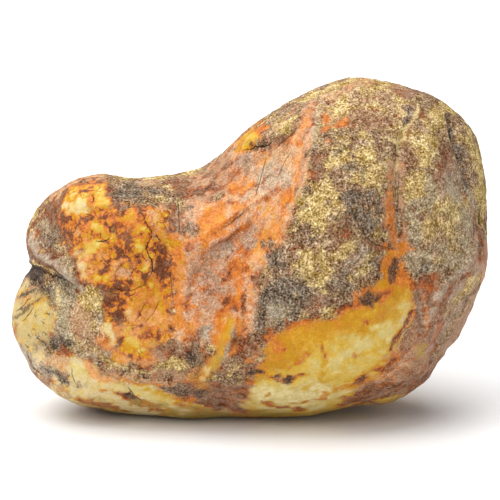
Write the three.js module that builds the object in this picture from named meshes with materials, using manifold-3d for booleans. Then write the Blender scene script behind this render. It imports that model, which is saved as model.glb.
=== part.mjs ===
// A river-worn nephrite pebble, one solid stone, in millimetres with +Z up.
//
// The stone is a lopsided kidney: a tall round head on the right, a low waist, and a small double
// lobe on the left. It lies on a small worn flat, with its broad face leaning back a little.
// Everything is drawn upright first, on the broad face: x to the right, u up and v out of the face,
// all from a point inside the stone. The finished body is then leaned back and cut flat underneath.
import * as THREE from "three";
import { mergeVertices } from "three/addons/utils/BufferGeometryUtils.js";
import { ImprovedNoise } from "three/addons/math/ImprovedNoise.js";
import Module from "manifold-3d";

const LEAN_DEG = 12; // how far the broad face leans back from upright
const WORN_FLAT_DEPTH = 1.5; // how much the resting side is worn away below the body's lowest point
const GRID_DETAIL = 14; // the ball that the body is drawn from has 20 * (detail + 1)^2 faces
const FACE_BUDGET = 9300; // faces at which the grid is no longer made finer where the skin bends
const CURVE_STEPS = 720; // how finely the outline is read round the stone
const STROKE_STEPS = 40; // how finely a stroke's path is read
const STROKE_FADE = 0.28; // share of a stroke's length over which it starts and ends
const STROKE_STEEPNESS = 2; // how fast a stroke's sides fall away across its width
const WANDER = { wave: 13, swing: 2.2 }; // how far every lump and stroke strays from its drawn place
const END_SLANT = 0.3; // how fast the forms at the ends climb as they run round to the back
const FULLNESS = 2.25; // 2 is an ellipse from rim to crown, more is boxier
const RIM_FADE = 0.3; // share of the way from rim to crown over which one side's forms fade in
const SPLIT_SHARE = 0.03; // share of the grid's faces that one round of splitting starts from
const OVAL = { x: 60, y: 38, z: 33 }; // half-lengths of the oval that says which way is outward
const MERGE_GAP = 1e-4; // corners nearer than this are one corner
const LEAST_TURN = 1e-9; // smallest angle between two rim points that still counts, in radians
const GROUND_SCALE = 2; // the block that wears the flat, as a multiple of the body's box
const RIND = { color: 0x9c7a4e, roughness: 0.62, metalness: 0 }; // matt brown weathered skin

// The rim, once round the stone from the right end, over the head and the left lobes.
const OUTLINE = [
  [57.2, 3], [57.4, 17], [56.4, 26.5], [52.6, 36], [44, 43], [34, 46.4], [22.3, 48],
  [13, 44.4], [0, 37.4], [-7.6, 30.2], [-13.8, 26], [-20.5, 24.2], [-32, 22.6], [-40.2, 23.8],
  [-47, 22], [-54.2, 17], [-58.2, 10.6], [-58.6, 4.2], [-58.8, -1.2], [-61.2, -11.5],
  [-59.9, -18.3], [-55, -25.8], [-48, -31.8], [-39.6, -35.2], [-28, -37], [-14, -37.6],
  [2, -37.2], [17, -35.8], [29, -33.4], [38.6, -29.2], [45.8, -23.4], [51.8, -15.8], [55.8, -5.4],
];

// How far the crown of each side stands from the rim's plane: a base and broad swells on it.
const FRONT_CROWN = {
  base: 27,
  swells: [
    { at: [26, 12], half: [30, 30], turn: 0, rise: 11 },
    { at: [-44, 2], half: [17, 17], turn: 0, rise: 3.5 },
    { at: [12, -22], half: [38, 16], turn: 8, rise: 4.5 },
  ],
};
const BACK_CROWN = {
  base: 25,
  swells: [
    { at: [22, 8], half: [30, 28], turn: 20, rise: 10 },
    { at: [-20, -14], half: [26, 18], turn: -10, rise: 3.5 },
  ],
};

// Lumps (rise over 0) and hollows (rise under 0), pushed out of or into the smooth body.
const FRONT_LUMPS = [
  { at: [-5, 9], half: [23, 10.5], turn: 52, rise: -5.6 }, // scoop between the head and the waist
  { at: [-14, 21], half: [12, 6], turn: 35, rise: -1.4 }, // the scoop's open upper end
  { at: [19, 12], half: [9, 15], turn: -12, rise: 2.2 }, // swell of the head beside the scoop
  { at: [43, 14], half: [8, 18], turn: 6, rise: 2 }, // swell of the head's right shoulder
  { at: [34, 5], half: [4, 12], turn: 6, rise: -1.8 }, // shallow trough between the two
  { at: [29, 35], half: [10, 5], turn: -15, rise: 1.1 }, // brow of the head
  { at: [-44, 16.5], half: [5.5, 4.5], turn: 15, rise: 1.9 }, // knobs on the upper left lobe
  { at: [-36.5, 15.5], half: [3.8, 4.2], turn: 0, rise: 1.3 },
  { at: [-41, 8.5], half: [4, 3.2], turn: 20, rise: 0.9 },
  { at: [-43, 1], half: [4.2, 4.2], turn: 0, rise: 1.5 },
  { at: [-39, -5.5], half: [4, 3.6], turn: 0, rise: 1.3 },
  { at: [-33, 5], half: [4, 4.5], turn: 0, rise: 1.2 },
  { at: [-32.5, 13], half: [3.5, 3], turn: 0, rise: 0.8 },
  { at: [-27, 13], half: [3.6, 5], turn: 10, rise: 1 },
  { at: [-27.5, -10], half: [4, 6], turn: 25, rise: 1.1 },
  { at: [-36.5, -17.5], half: [5, 4], turn: 20, rise: 1.3 },
  { at: [-28, -21], half: [5, 3.6], turn: 10, rise: 0.9 },
  { at: [-53, 8], half: [4.5, 8], turn: 20, rise: -1.8 }, // dished left end of the upper lobe
  { at: [-45.5, -15], half: [6, 8], turn: 15, rise: 0.9 },
  { at: [20, -25], half: [15, 6.5], turn: 22, rise: 1.2 }, // belly of the bare window underneath
  { at: [46, -14], half: [5, 9], turn: -35, rise: -1.6 }, // hollow flank at the lower right
  { at: [8, -3], half: [6, 5], turn: 30, rise: 0.9 },
  { at: [14, -13], half: [7, 4], turn: 30, rise: -0.9 }, // dip above the window's edge
];
const BACK_LUMPS = [
  { at: [-8, 6], half: [18, 9], turn: -30, rise: -3.6 },
  { at: [34, 22], half: [12, 9], turn: 30, rise: 2 },
  { at: [38, -12], half: [9, 12], turn: -20, rise: 1.6 },
  { at: [12, 26], half: [10, 7], turn: 0, rise: -1.6 },
  { at: [-42, 6], half: [9, 8], turn: 0, rise: 2.2 },
  { at: [-48, -14], half: [8, 6], turn: 20, rise: 1.8 },
  { at: [-26, -16], half: [9, 7], turn: 0, rise: 1.4 },
  { at: [10, -14], half: [12, 6], turn: 15, rise: -1.4 },
];
// Lumps at the ends, which run round the rim from one side to the other.
const ROUND_LUMPS = [
  { at: [-59, -12.5], half: [6, 7], turn: 0, rise: 1 }, // boss of the lower left lobe
];

// Ridges (rise over 0) and grooves (rise under 0), each along a path.
const FRONT_STROKES = [
  // crest between the scoop and the head's rough face
  { path: [[14, 42], [12, 31], [9.5, 20], [5, 10], [3.5, 1], [0, -9], [-3, -17]], width: 7.5, rise: 2.8 },
  // steps of the layered skin inside the scoop
  { path: [[6, 22], [-3, 13.5], [-12, 8], [-18, -2]], width: 4.4, rise: 1.5 },
  { path: [[-4, 5], [-10, -2.5], [-13, -11]], width: 4.2, rise: 1.1 },
  // overhanging brow under the head's top edge
  { path: [[-9, 28], [-3, 30.5], [4, 32.5], [10, 37], [14.5, 43]], width: 4, rise: 1.8 },
  { path: [[-6, 25.5], [0, 27], [7, 29]], width: 3.6, rise: -1.2 },
  // seam where the left lobe meets the scoop
  { path: [[-20.5, 20], [-21.5, 8], [-24.5, -6], [-26, -18]], width: 4.2, rise: -1.8 },
  // lip over the crease at the left end
  { path: [[-60, 7.5], [-53, 3.4], [-47, -0.2], [-41, -4.6]], width: 4, rise: 1.6 },
  // crest and groove round the head's lower right
  { path: [[60, 8], [53, 3], [49, -3], [43.5, -9.5], [40, -18], [37, -27]], width: 5, rise: 2 },
  { path: [[58, -3], [52, -8], [47, -14], [43, -22]], width: 4.2, rise: -1.4 },
  // groove under the lower lobe's boss
  { path: [[-54, -18], [-49, -19.5], [-42, -22]], width: 4, rise: -1.4 },
  // keel from the lower lobe along the bottom
  { path: [[-60, -20], [-52, -26], [-42, -29], [-30, -30]], width: 5, rise: 1.5 },
  // slanting channel and its bank, from the scoop's foot to the bottom
  { path: [[-7.5, -4], [-10, -11], [-13.5, -18], [-17, -26]], width: 4, rise: -1.3 },
  { path: [[-1, -10], [-5, -17], [-8.5, -26]], width: 4.6, rise: 0.9 },
  // step where the rough skin ends over the bare window
  { path: [[0, -19], [8, -16], [16, -12], [24, -9.5], [32, -7], [39, -3]], width: 4, rise: 1 },
  // vein down the head and the recess beside its right end
  { path: [[39, 37], [36, 27], [34, 16], [34.5, 5], [37, -5]], width: 4, rise: -1.2 },
  { path: [[46, 36], [47, 30], [49, 23], [50.5, 16]], width: 3.6, rise: -1.5 },
];
const BACK_STROKES = [
  { path: [[18, 44], [10, 28], [4, 12], [-6, -2], [-20, -10]], width: 7, rise: 2.6 },
  { path: [[46, 30], [40, 14], [36, -6], [28, -24]], width: 4.4, rise: -1.8 },
  { path: [[-24, 20], [-28, 6], [-24, -10], [-30, -26]], width: 4.4, rise: -1.7 },
  { path: [[-10, -22], [6, -26], [24, -24], [38, -14]], width: 5, rise: 1.6 },
  { path: [[4, 36], [16, 20], [22, 4], [20, -12]], width: 4, rise: -1.1 },
];
// Ridges and grooves at the ends, which run round the rim from one side to the other.
const ROUND_STROKES = [
  // crease that splits the left end
  { path: [[-66, 3], [-59, -0.5], [-54.5, -2.6], [-49, -5.4], [-42, -10]], width: 3.8, rise: -2.3 },
];

// The unevenness that is left everywhere: wavelength and height of each octave.
const WEATHERING = [
  { wave: 15, height: 0.75 },
  { wave: 7.5, height: 0.42 },
];

/** Distance from the stone's inner point to the rim, by angle round the broad face. */
function rimReader() {
  const points = OUTLINE.map(([x, u]) => new THREE.Vector3(x, u, 0));
  const curve = new THREE.CatmullRomCurve3(points, true, "centripetal");
  const rim = curve.getPoints(CURVE_STEPS).map((p) => ({
    angle: Math.atan2(p.y, p.x),
    reach: Math.hypot(p.x, p.y),
  }));
  rim.sort((a, b) => a.angle - b.angle);
  return (angle) => {
    let low = 0;
    let high = rim.length - 1;
    while (high - low > 1) {
      const middle = (low + high) >> 1;
      if (rim[middle].angle <= angle) low = middle;
      else high = middle;
    }
    const share = (angle - rim[low].angle) / Math.max(rim[high].angle - rim[low].angle, LEAST_TURN);
    return THREE.MathUtils.lerp(rim[low].reach, rim[high].reach, THREE.MathUtils.clamp(share, 0, 1));
  };
}

/** Height of a smooth oval lump at a place on the broad face. */
function lumpHeight({ at, half, turn, rise }, x, u) {
  const angle = THREE.MathUtils.degToRad(turn);
  const dx = x - at[0];
  const du = u - at[1];
  const along = (dx * Math.cos(angle) + du * Math.sin(angle)) / half[0];
  const across = (du * Math.cos(angle) - dx * Math.sin(angle)) / half[1];
  return rise * Math.exp(-(along * along + across * across));
}

/** Turns a stroke's few path points into a smooth chain of short pieces. */
function drawStroke({ path, width, rise }) {
  const curve = new THREE.SplineCurve(path.map(([x, u]) => new THREE.Vector2(x, u)));
  return { chain: curve.getPoints(STROKE_STEPS), width, rise };
}

/** Height of a ridge or groove at a place: full on its path, gone at its ends and past its width. */
function strokeHeight({ chain, width, rise }, x, u) {
  let nearest = Infinity;
  let share = 0;
  chain.forEach((point, i) => {
    const distance = Math.hypot(x - point.x, u - point.y);
    if (distance < nearest) {
      nearest = distance;
      share = i / (chain.length - 1);
    }
  });
  const endFade = THREE.MathUtils.smoothstep(Math.min(share, 1 - share), 0, STROKE_FADE);
  return rise * endFade * Math.exp(-STROKE_STEEPNESS * (nearest / width) ** 2);
}

/** How far the crown stands from the rim's plane on one side. */
function crownDepth({ base, swells }, x, u) {
  return swells.reduce((depth, swell) => depth + lumpHeight(swell, x, u), base);
}

/** The outward direction at a place on the body, read from an oval of the body's overall size. */
function outward(x, u, v) {
  return new THREE.Vector3(x / OVAL.x ** 2, u / OVAL.y ** 2, v / OVAL.z ** 2).normalize();
}

/** Height of several lumps and strokes together at a place on the broad face. */
function formHeight({ lumps, strokes }, x, u) {
  const raised = lumps.reduce((rise, lump) => rise + lumpHeight(lump, x, u), 0);
  return strokes.reduce((rise, stroke) => rise + strokeHeight(stroke, x, u), raised);
}

/** The stone's surface as a function: a direction from its inner point gives a place on its skin. */
function skinReader() {
  const reachAt = rimReader();
  const noise = new ImprovedNoise();
  const front = { crown: FRONT_CROWN, lumps: FRONT_LUMPS, strokes: FRONT_STROKES.map(drawStroke) };
  const back = { crown: BACK_CROWN, lumps: BACK_LUMPS, strokes: BACK_STROKES.map(drawStroke) };
  const around = { lumps: ROUND_LUMPS, strokes: ROUND_STROKES.map(drawStroke) };
  return (direction) => {
    const share = Math.min(1, Math.hypot(direction.x, direction.y));
    const angle = Math.atan2(direction.y, direction.x);
    const reach = reachAt(angle) * share;
    const x = reach * Math.cos(angle);
    const u = reach * Math.sin(angle);
    const side = direction.z >= 0 ? front : back;
    const height = (1 - share ** FULLNESS) ** (1 / FULLNESS);
    const v = Math.sign(direction.z) * crownDepth(side.crown, x, u) * height;
    const facing = THREE.MathUtils.smoothstep(Math.abs(direction.z), 0, RIM_FADE);
    const spot = [x / WANDER.wave, u / WANDER.wave, v / WANDER.wave];
    const atX = x + WANDER.swing * noise.noise(spot[0], spot[1], spot[2]);
    const atU = u + WANDER.swing * noise.noise(spot[1], spot[2], spot[0]);
    const endU = atU + END_SLANT * Math.min(v, 0);
    let rise = formHeight(side, atX, atU) * facing + formHeight(around, atX, endU);
    for (const { wave, height: swing } of WEATHERING) {
      rise += swing * noise.noise(x / wave, u / wave, v / wave);
    }
    return outward(x, u, v).multiplyScalar(rise).add(new THREE.Vector3(x, u, v));
  };
}

/** The ball's directions and faces as plain lists. */
function ballGrid() {
  const ball = new THREE.IcosahedronGeometry(1, GRID_DETAIL);
  for (const name of ["normal", "uv"]) ball.deleteAttribute(name);
  const merged = mergeVertices(ball, MERGE_GAP);
  const place = merged.getAttribute("position");
  const directions = [];
  for (let i = 0; i < place.count; i += 1) {
    directions.push(new THREE.Vector3().fromBufferAttribute(place, i));
  }
  const faces = [];
  for (let i = 0; i < merged.index.count; i += 3) {
    faces.push([0, 1, 2].map((k) => merged.index.getX(i + k)));
  }
  return { directions, faces };
}

/** A side's name, the same from both of the faces beside it. */
function sideName([a, b]) {
  return a < b ? `${a} ${b}` : `${b} ${a}`;
}

/** A face's sides, the longest first. */
function sidesOf(face, places) {
  const sides = face.map((a, k) => [a, face[(k + 1) % 3]]);
  return sides.sort(([a, b], [c, d]) => places[c].distanceTo(places[d]) - places[a].distanceTo(places[b]));
}

/** The skin read at the middle direction of some corners. */
function readMiddle(grid, skinAt, corners) {
  const direction = new THREE.Vector3();
  for (const i of corners) direction.add(grid.directions[i]);
  direction.normalize();
  return { direction, place: skinAt(direction) };
}

/** How badly a flat face fits the skin: the gap at its middle, times its longest side. */
function misfit(grid, skinAt, face) {
  const corners = face.map((i) => grid.places[i]);
  const plane = new THREE.Plane().setFromCoplanarPoints(...corners);
  const [[a, b]] = sidesOf(face, grid.places);
  const gap = Math.abs(plane.distanceToPoint(readMiddle(grid, skinAt, face).place));
  return gap * grid.places[a].distanceTo(grid.places[b]);
}

/** The names of the sides to halve: the longest side of each worst face and of each face they touch. */
function chooseSides(grid, misfits) {
  const worst = [...grid.faces].sort((p, q) => misfits.get(q) - misfits.get(p));
  const chosen = new Set();
  let waiting = worst.slice(0, Math.ceil(worst.length * SPLIT_SHARE));
  while (waiting.length) {
    for (const face of waiting) chosen.add(sideName(sidesOf(face, grid.places)[0]));
    waiting = grid.faces.filter((face) => {
      const [longest, ...others] = sidesOf(face, grid.places).map(sideName);
      return !chosen.has(longest) && others.some((side) => chosen.has(side));
    });
  }
  return chosen;
}

/** The grid laid on the skin, its faces halved across where they fit worst, up to the face budget. */
function layGrid(skinAt) {
  const { directions, faces } = ballGrid();
  const grid = { directions, faces, places: directions.map(skinAt) };
  const misfits = new Map();
  while (grid.faces.length < FACE_BUDGET) {
    for (const face of grid.faces) if (!misfits.has(face)) misfits.set(face, misfit(grid, skinAt, face));
    const chosen = chooseSides(grid, misfits);
    const middles = new Map();
    const middleOf = (side) => {
      const name = sideName(side);
      if (!middles.has(name)) {
        const { direction, place } = readMiddle(grid, skinAt, side);
        middles.set(name, grid.directions.push(direction) - 1);
        grid.places.push(place);
      }
      return middles.get(name);
    };
    const halve = (face) => {
      const side = sidesOf(face, grid.places).find((candidate) => chosen.has(sideName(candidate)));
      if (!side) return [face];
      const middle = middleOf(side);
      return side.flatMap((end) => halve(face.map((i) => (i === end ? middle : i))));
    };
    grid.faces = grid.faces.flatMap(halve);
  }
  return new THREE.BufferGeometry().setFromPoints(grid.places).setIndex(grid.faces.flat());
}

/** A manifold solid of a closed geometry, whose shared vertices are merged first. */
function solidOf(wasm, geometry) {
  const bare = geometry.clone();
  for (const name of ["normal", "uv"]) bare.deleteAttribute(name);
  const merged = mergeVertices(bare, MERGE_GAP);
  return new wasm.Manifold(
    new wasm.Mesh({
      numProp: 3,
      vertProperties: new Float32Array(merged.getAttribute("position").array),
      triVerts: new Uint32Array(merged.index.array),
    }),
  );
}

/** A three.js geometry of a manifold solid. */
function geometryOf(solid) {
  const mesh = solid.getMesh();
  const geometry = new THREE.BufferGeometry();
  geometry.setAttribute("position", new THREE.BufferAttribute(mesh.vertProperties, 3));
  geometry.setIndex(new THREE.BufferAttribute(mesh.triVerts, 1));
  geometry.computeVertexNormals();
  return geometry;
}

/** The body leaned back, with its resting side worn flat. */
function wearFlat(wasm, body) {
  // The broad face is drawn with u up and v towards the viewer: +Z up and -Y in the stone's own frame.
  body.rotateX(Math.PI / 2);
  body.rotateX(-THREE.MathUtils.degToRad(LEAN_DEG));
  body.computeBoundingBox();
  const box = body.boundingBox;
  const size = box.getSize(new THREE.Vector3()).multiplyScalar(GROUND_SCALE);
  const ground = new THREE.BoxGeometry(size.x, size.y, size.z);
  ground.translate(0, 0, box.min.z + WORN_FLAT_DEPTH - size.z / 2);
  return geometryOf(solidOf(wasm, body).subtract(solidOf(wasm, ground)));
}

/** Puts the origin under the middle of the stone's box, on the surface that it rests on. */
function centreOnFlat(geometry) {
  geometry.computeBoundingBox();
  const box = geometry.boundingBox;
  const middle = box.getCenter(new THREE.Vector3());
  return geometry.translate(-middle.x, -middle.y, -box.min.z);
}

const wasm = await Module();
wasm.setup();

const body = layGrid(skinReader());

const pebble = new THREE.Mesh(centreOnFlat(wearFlat(wasm, body)), new THREE.MeshStandardMaterial(RIND));
pebble.name = "pebble";

const stone = new THREE.Group();
stone.add(pebble);

export default stone;
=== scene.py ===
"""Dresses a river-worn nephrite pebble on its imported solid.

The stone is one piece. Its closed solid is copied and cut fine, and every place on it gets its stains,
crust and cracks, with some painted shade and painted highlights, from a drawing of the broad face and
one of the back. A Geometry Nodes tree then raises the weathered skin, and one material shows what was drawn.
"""

import itertools
import logging
import math
from collections.abc import Mapping, Sequence
from dataclasses import dataclass, field
from enum import Enum
from functools import partial

import bmesh
import bpy
import numpy as np
from bpy.types import ID, Material, Mesh, NodeOutputs, NodeSocket, NodeTree, Object
from mathutils import Matrix, Vector


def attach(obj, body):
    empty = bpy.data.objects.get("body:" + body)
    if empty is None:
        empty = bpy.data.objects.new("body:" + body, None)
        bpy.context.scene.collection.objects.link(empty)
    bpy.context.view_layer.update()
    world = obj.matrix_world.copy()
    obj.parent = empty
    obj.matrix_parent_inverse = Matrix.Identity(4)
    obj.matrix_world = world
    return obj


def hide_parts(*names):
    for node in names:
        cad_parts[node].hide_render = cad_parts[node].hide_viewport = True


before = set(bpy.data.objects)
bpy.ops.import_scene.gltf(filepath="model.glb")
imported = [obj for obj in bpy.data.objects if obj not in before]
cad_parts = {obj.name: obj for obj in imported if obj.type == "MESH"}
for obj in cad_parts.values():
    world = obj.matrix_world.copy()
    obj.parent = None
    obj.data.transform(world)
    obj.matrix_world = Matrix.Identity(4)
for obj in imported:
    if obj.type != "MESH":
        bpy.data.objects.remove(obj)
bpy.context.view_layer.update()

LOG = logging.getLogger("nephrite_pebble")
MM = 0.001
UNITS = 500  # a drawing is this many units across
TINY = 1e-9  # keeps a division clear of zero

Point = tuple[float, float]  # units to the right of and below a drawing's upper left corner
Pair = tuple[float, float]
Sockets = Mapping[str, NodeSocket]  # by what they carry


def linear_colour(hex_colour: str) -> tuple[float, float, float]:
    """Turns an sRGB hex colour into linear red, green and blue.

    Args:
        hex_colour: A colour such as "#d9a93f".

    Returns:
        The three linear values, from 0 to 1.
    """
    values = [int(hex_colour[i:i + 2], 16) / 255 for i in (1, 3, 5)]
    return tuple(c / 12.92 if c <= 0.04045 else ((c + 0.055) / 1.055) ** 2.4 for c in values)


def linear_rgba(hex_colour: str) -> tuple[float, float, float, float]:
    """Turns an sRGB hex colour into an opaque linear one."""
    return (*linear_colour(hex_colour), 1.0)


def smooth_step(low: float, high: float, value: np.ndarray) -> np.ndarray:
    """Rises smoothly from 0 at low to 1 at high."""
    share = np.clip((value - low) / (high - low), 0.0, 1.0)
    return share * share * (3.0 - 2.0 * share)


def smooth_path(points: Sequence[Point], closed: bool = False, steps: int = 7) -> np.ndarray:
    """Draws a smooth line through a few points.

    Args:
        points: The points that the line passes through.
        closed: Whether the line comes back to its first point.
        steps: How many short pieces join two points.

    Returns:
        The line's places, one row each.
    """
    given = np.array(points, float)
    ends = (given[-1:], given[:2]) if closed else (2 * given[:1] - given[1:2], 2 * given[-1:] - given[-2:-1])
    knots = np.vstack([ends[0], given, ends[1]])
    share = np.linspace(0.0, 1.0, steps, endpoint=False)[:, None]
    pieces = []
    for a, b, c, d in zip(knots, knots[1:], knots[2:], knots[3:]):
        bend = 2 * b + (c - a) * share + (2 * a - 5 * b + 4 * c - d) * share**2
        pieces.append(0.5 * (bend + (3 * b - a - 3 * c + d) * share**3))
    last = given[:1] if closed else given[-1:]
    return np.vstack([*pieces, last])


def measure_from_path(places: np.ndarray, path: np.ndarray) -> tuple[np.ndarray, np.ndarray]:
    """Measures how places lie beside a line.

    Args:
        places: The places, one row each.
        path: The line's own places.

    Returns:
        The distance to the line, negative on its right, and the share of its length at the nearest point.
    """
    steps = np.diff(path, axis=0)
    away = places[:, None, :] - path[None, :-1, :]
    along = np.clip((away * steps).sum(2) / np.maximum((steps**2).sum(1), TINY), 0.0, 1.0)
    gap = np.linalg.norm(away - along[..., None] * steps, axis=2)
    nearest = gap.argmin(1)
    rows = np.arange(len(places))
    beside = steps[nearest, 0] * away[rows, nearest, 1] - steps[nearest, 1] * away[rows, nearest, 0]
    side = np.where(beside > 0, -1.0, 1.0)
    return side * gap[rows, nearest], (nearest + along[rows, nearest]) / len(steps)


def fade_ends(share: np.ndarray, length: float) -> np.ndarray:
    """Rises from 0 at either end of a line to 1 over a length, as shares of the whole."""
    return smooth_step(0.0, length, np.minimum(share, 1.0 - share))


def inside_outline(places: np.ndarray, outline: np.ndarray) -> np.ndarray:
    """Says which places lie inside a closed outline, by counting the sides that a level ray crosses.

    Args:
        places: The places, one row each.
        outline: The outline's own places, the first again at the end.

    Returns:
        Whether each place is inside.
    """
    x, y = places[:, :1], places[:, 1:]
    (ax, ay), (bx, by) = outline[:-1].T, outline[1:].T
    level = (ay > y) != (by > y)
    crossing = (bx - ax) * (y - ay) / np.where(by == ay, TINY, by - ay) + ax
    return (level & (x < crossing)).sum(1) % 2 == 1


def rows_near(points: Sequence[Point], reach: float, places: np.ndarray) -> np.ndarray:
    """The numbers of the places inside the box that stands a reach beyond some points."""
    ends = np.array(points, float)
    return np.flatnonzero(((places > ends.min(0) - reach) & (places < ends.max(0) + reach)).all(1))


@dataclass(frozen=True)
class LatticeNoise:
    """Smooth, repeatable unevenness in space, from a lattice of random values."""

    seed: int
    cells: int = 40
    seed_shift: float = 3.7  # how far one seed's lattice is shifted from the last one's, in cells
    octave_shift: float = 5.3  # how far the places are shifted for each finer octave

    def at(self, places: np.ndarray, wave: float) -> np.ndarray:
        """Reads one octave.

        Args:
            places: The places, one row each.
            wave: The size of a cell, in the places' own unit.

        Returns:
            The unevenness at each place, from -1 to 1.
        """
        lattice = np.random.default_rng(self.seed).uniform(-1.0, 1.0, (self.cells,) * 3)
        scaled = places / wave + self.seed * self.seed_shift
        base = np.floor(scaled).astype(int)
        share = smooth_step(0.0, 1.0, scaled - base)
        total = np.zeros(len(places))
        for corner in itertools.product((0, 1), repeat=3):
            weight = np.where(np.array(corner) == 1, share, 1.0 - share).prod(1)
            index = (base + corner) % self.cells
            total += weight * lattice[index[:, 0], index[:, 1], index[:, 2]]
        return total

    def layered(self, places: np.ndarray, wave: float, octaves: int = 4, gain: float = 0.6) -> np.ndarray:
        """Adds octaves of halving wave, each weaker than the last by the gain."""
        return sum(gain**i * self.at(places + self.octave_shift * i, wave / 2**i) for i in range(octaves))


@dataclass(frozen=True)
class Outlook:
    """A place to look at the stone from, and the drawing of the stone made there. Lengths are in metres."""

    azimuth_deg: float
    elevation_deg: float = 12.0
    aim: tuple[float, float, float] = (0.00004, 0.00099, 0.04065)
    distance: float = 0.6
    span: float = 0.1259  # width of the view at the aim

    def axes(self) -> np.ndarray:
        """Works out the directions of the view.

        Returns:
            The unit vectors to the right, up, and towards the eye, one row each.
        """
        turn, rise = math.radians(self.azimuth_deg), math.radians(self.elevation_deg)
        right = np.array([math.cos(turn), math.sin(turn), 0.0])
        toward = np.array([
            math.sin(turn) * math.cos(rise), -math.cos(turn) * math.cos(rise), math.sin(rise),
        ])
        return np.array([right, np.cross(toward, right), toward])

    def eye(self) -> np.ndarray:
        """Where the eye is."""
        return np.array(self.aim) + self.distance * self.axes()[2]

    def draw(self, places: np.ndarray) -> np.ndarray:
        """Finds where places fall on the drawing.

        Args:
            places: Places in metres, one row each.

        Returns:
            Units to the right of and below the drawing's upper left corner, one row each.
        """
        right, up, toward = ((places - self.eye()) @ self.axes().T).T
        scale = UNITS * self.distance / self.span / -toward
        return np.stack([UNITS / 2 + right * scale, UNITS / 2 - up * scale], axis=1)

    def nearness(self, places: np.ndarray) -> np.ndarray:
        """How far places stand towards the eye from the plane through the aim, in millimetres."""
        return (places - np.array(self.aim)) @ self.axes()[2] / MM


FRONT = Outlook(azimuth_deg=0.0)
BACK = Outlook(azimuth_deg=180.0)


@dataclass(frozen=True)
class Finish:
    """What one kind of skin gives the eye."""

    bare: float  # how far weathering has been worn away: 0 is rind, 0.4 rust-stained, 1 is pale stone
    veil: str  # the tint of what clings to it
    veiled: float  # share that the veil covers
    crust: float  # 0 is waxy stone, 1 is dull gritty rind
    grains: float = 0.0  # share covered by straw-coloured grains
    flecks: float = 0.0  # share covered by dark flecks
    cells: float | None = None  # how strongly it parts into nodules; as the skin below where None

    def values(self) -> np.ndarray:
        """Its numbers in the order of Paint.NAMES."""
        return np.array([self.bare, self.veiled, self.crust, self.grains, self.flecks, self.cells or 0.0])


class Skin(Enum):
    """The kinds of skin that weathering has left on the nephrite, some also laid as painted light and shade.
    """

    CRUST = Finish(0.09, "#8f7456", 0.62, 1.0, 0.34, 0.22, 0.0)
    STRAW = Finish(0.09, "#a98f5e", 0.60, 1.0, 0.72, 0.14)
    SLATE = Finish(0.04, "#695c4c", 0.78, 0.92, 0.12, 0.38, 0.0)
    MOSS = Finish(0.08, "#a99a7a", 0.76, 0.80, 0.26, 0.12)
    UMBER = Finish(0.15, "#855f44", 0.40, 0.62, 0.08, 0.18)
    PLUM = Finish(0.18, "#93735c", 0.52, 0.50, 0.04, 0.16)
    ASH = Finish(0.20, "#a89a86", 0.80, 0.60, 0.05, 0.10)
    TAN = Finish(0.36, "#c29c74", 0.72, 0.50, 0.08, 0.08)
    ROSE = Finish(0.34, "#ad8a70", 0.60, 0.52, 0.02, 0.12)
    SALMON = Finish(0.45, "#c5a07e", 0.57, 0.40, 0.0, 0.08)
    ORANGE = Finish(0.46, "#cc7e38", 0.40, 0.30, 0.0, 0.05, 0.1)
    RUST = Finish(0.30, "#a05222", 0.15, 0.34, 0.0, 0.06)
    PEACH = Finish(0.60, "#d79862", 0.60, 0.20, 0.0, 0.02)
    NODULE = Finish(0.48, "#cc8a3c", 0.22, 0.24, 0.02, 0.06, 1.0)
    HONEY = Finish(0.68, "#cc973a", 0.20, 0.12, 0.0, 0.03)
    AMBER = Finish(0.57, "#b47f06", 0.55, 0.05, 0.0, 0.01, 0.0)
    OLIVE = Finish(0.66, "#a08a3e", 0.65, 0.12, 0.02, 0.08)
    CREAM = Finish(0.86, "#c8aa5e", 0.30, 0.02, 0.0, 0.02, 0.0)
    PALE = Finish(1.0, "#d2c080", 0.50, 0.0, 0.0, 0.01, 0.0)
    BUFF = Finish(0.92, "#cdb98c", 0.62, 0.10, 0.0, 0.04, 0.0)
    SAND = Finish(0.16, "#b0906a", 0.66, 1.0, 0.40, 0.12)
    BARK = Finish(0.24, "#a27e60", 0.72, 0.42, 0.04, 0.12)
    THREAD = Finish(0.10, "#cfb87e", 0.95, 0.60, 0.0, 0.0)
    MILK = Finish(1.0, "#ddcd98", 0.55, 0.0, 0.0, 0.01, 0.0)
    EMBER = Finish(0.38, "#b65c1e", 0.35, 0.24, 0.0, 0.03)
    LIVER = Finish(0.17, "#6e3d28", 0.30, 0.32, 0.0, 0.05)
    # near-black specks, also laid as painted shade in the crease at the left end and in the brow's notch
    SOOT_AND_SHADE = Finish(0.03, "#332924", 0.88, 0.60, 0.0, 0.10)


# The skins by their own names, in the order above, as the drawings call them.
(CRUST, STRAW, SLATE, MOSS, UMBER, PLUM, ASH, TAN, ROSE, SALMON, ORANGE, RUST, PEACH, NODULE, HONEY, AMBER,
    OLIVE, CREAM, PALE, BUFF, SAND, BARK, THREAD, MILK, EMBER, LIVER, SOOT_AND_SHADE) = Skin


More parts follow.
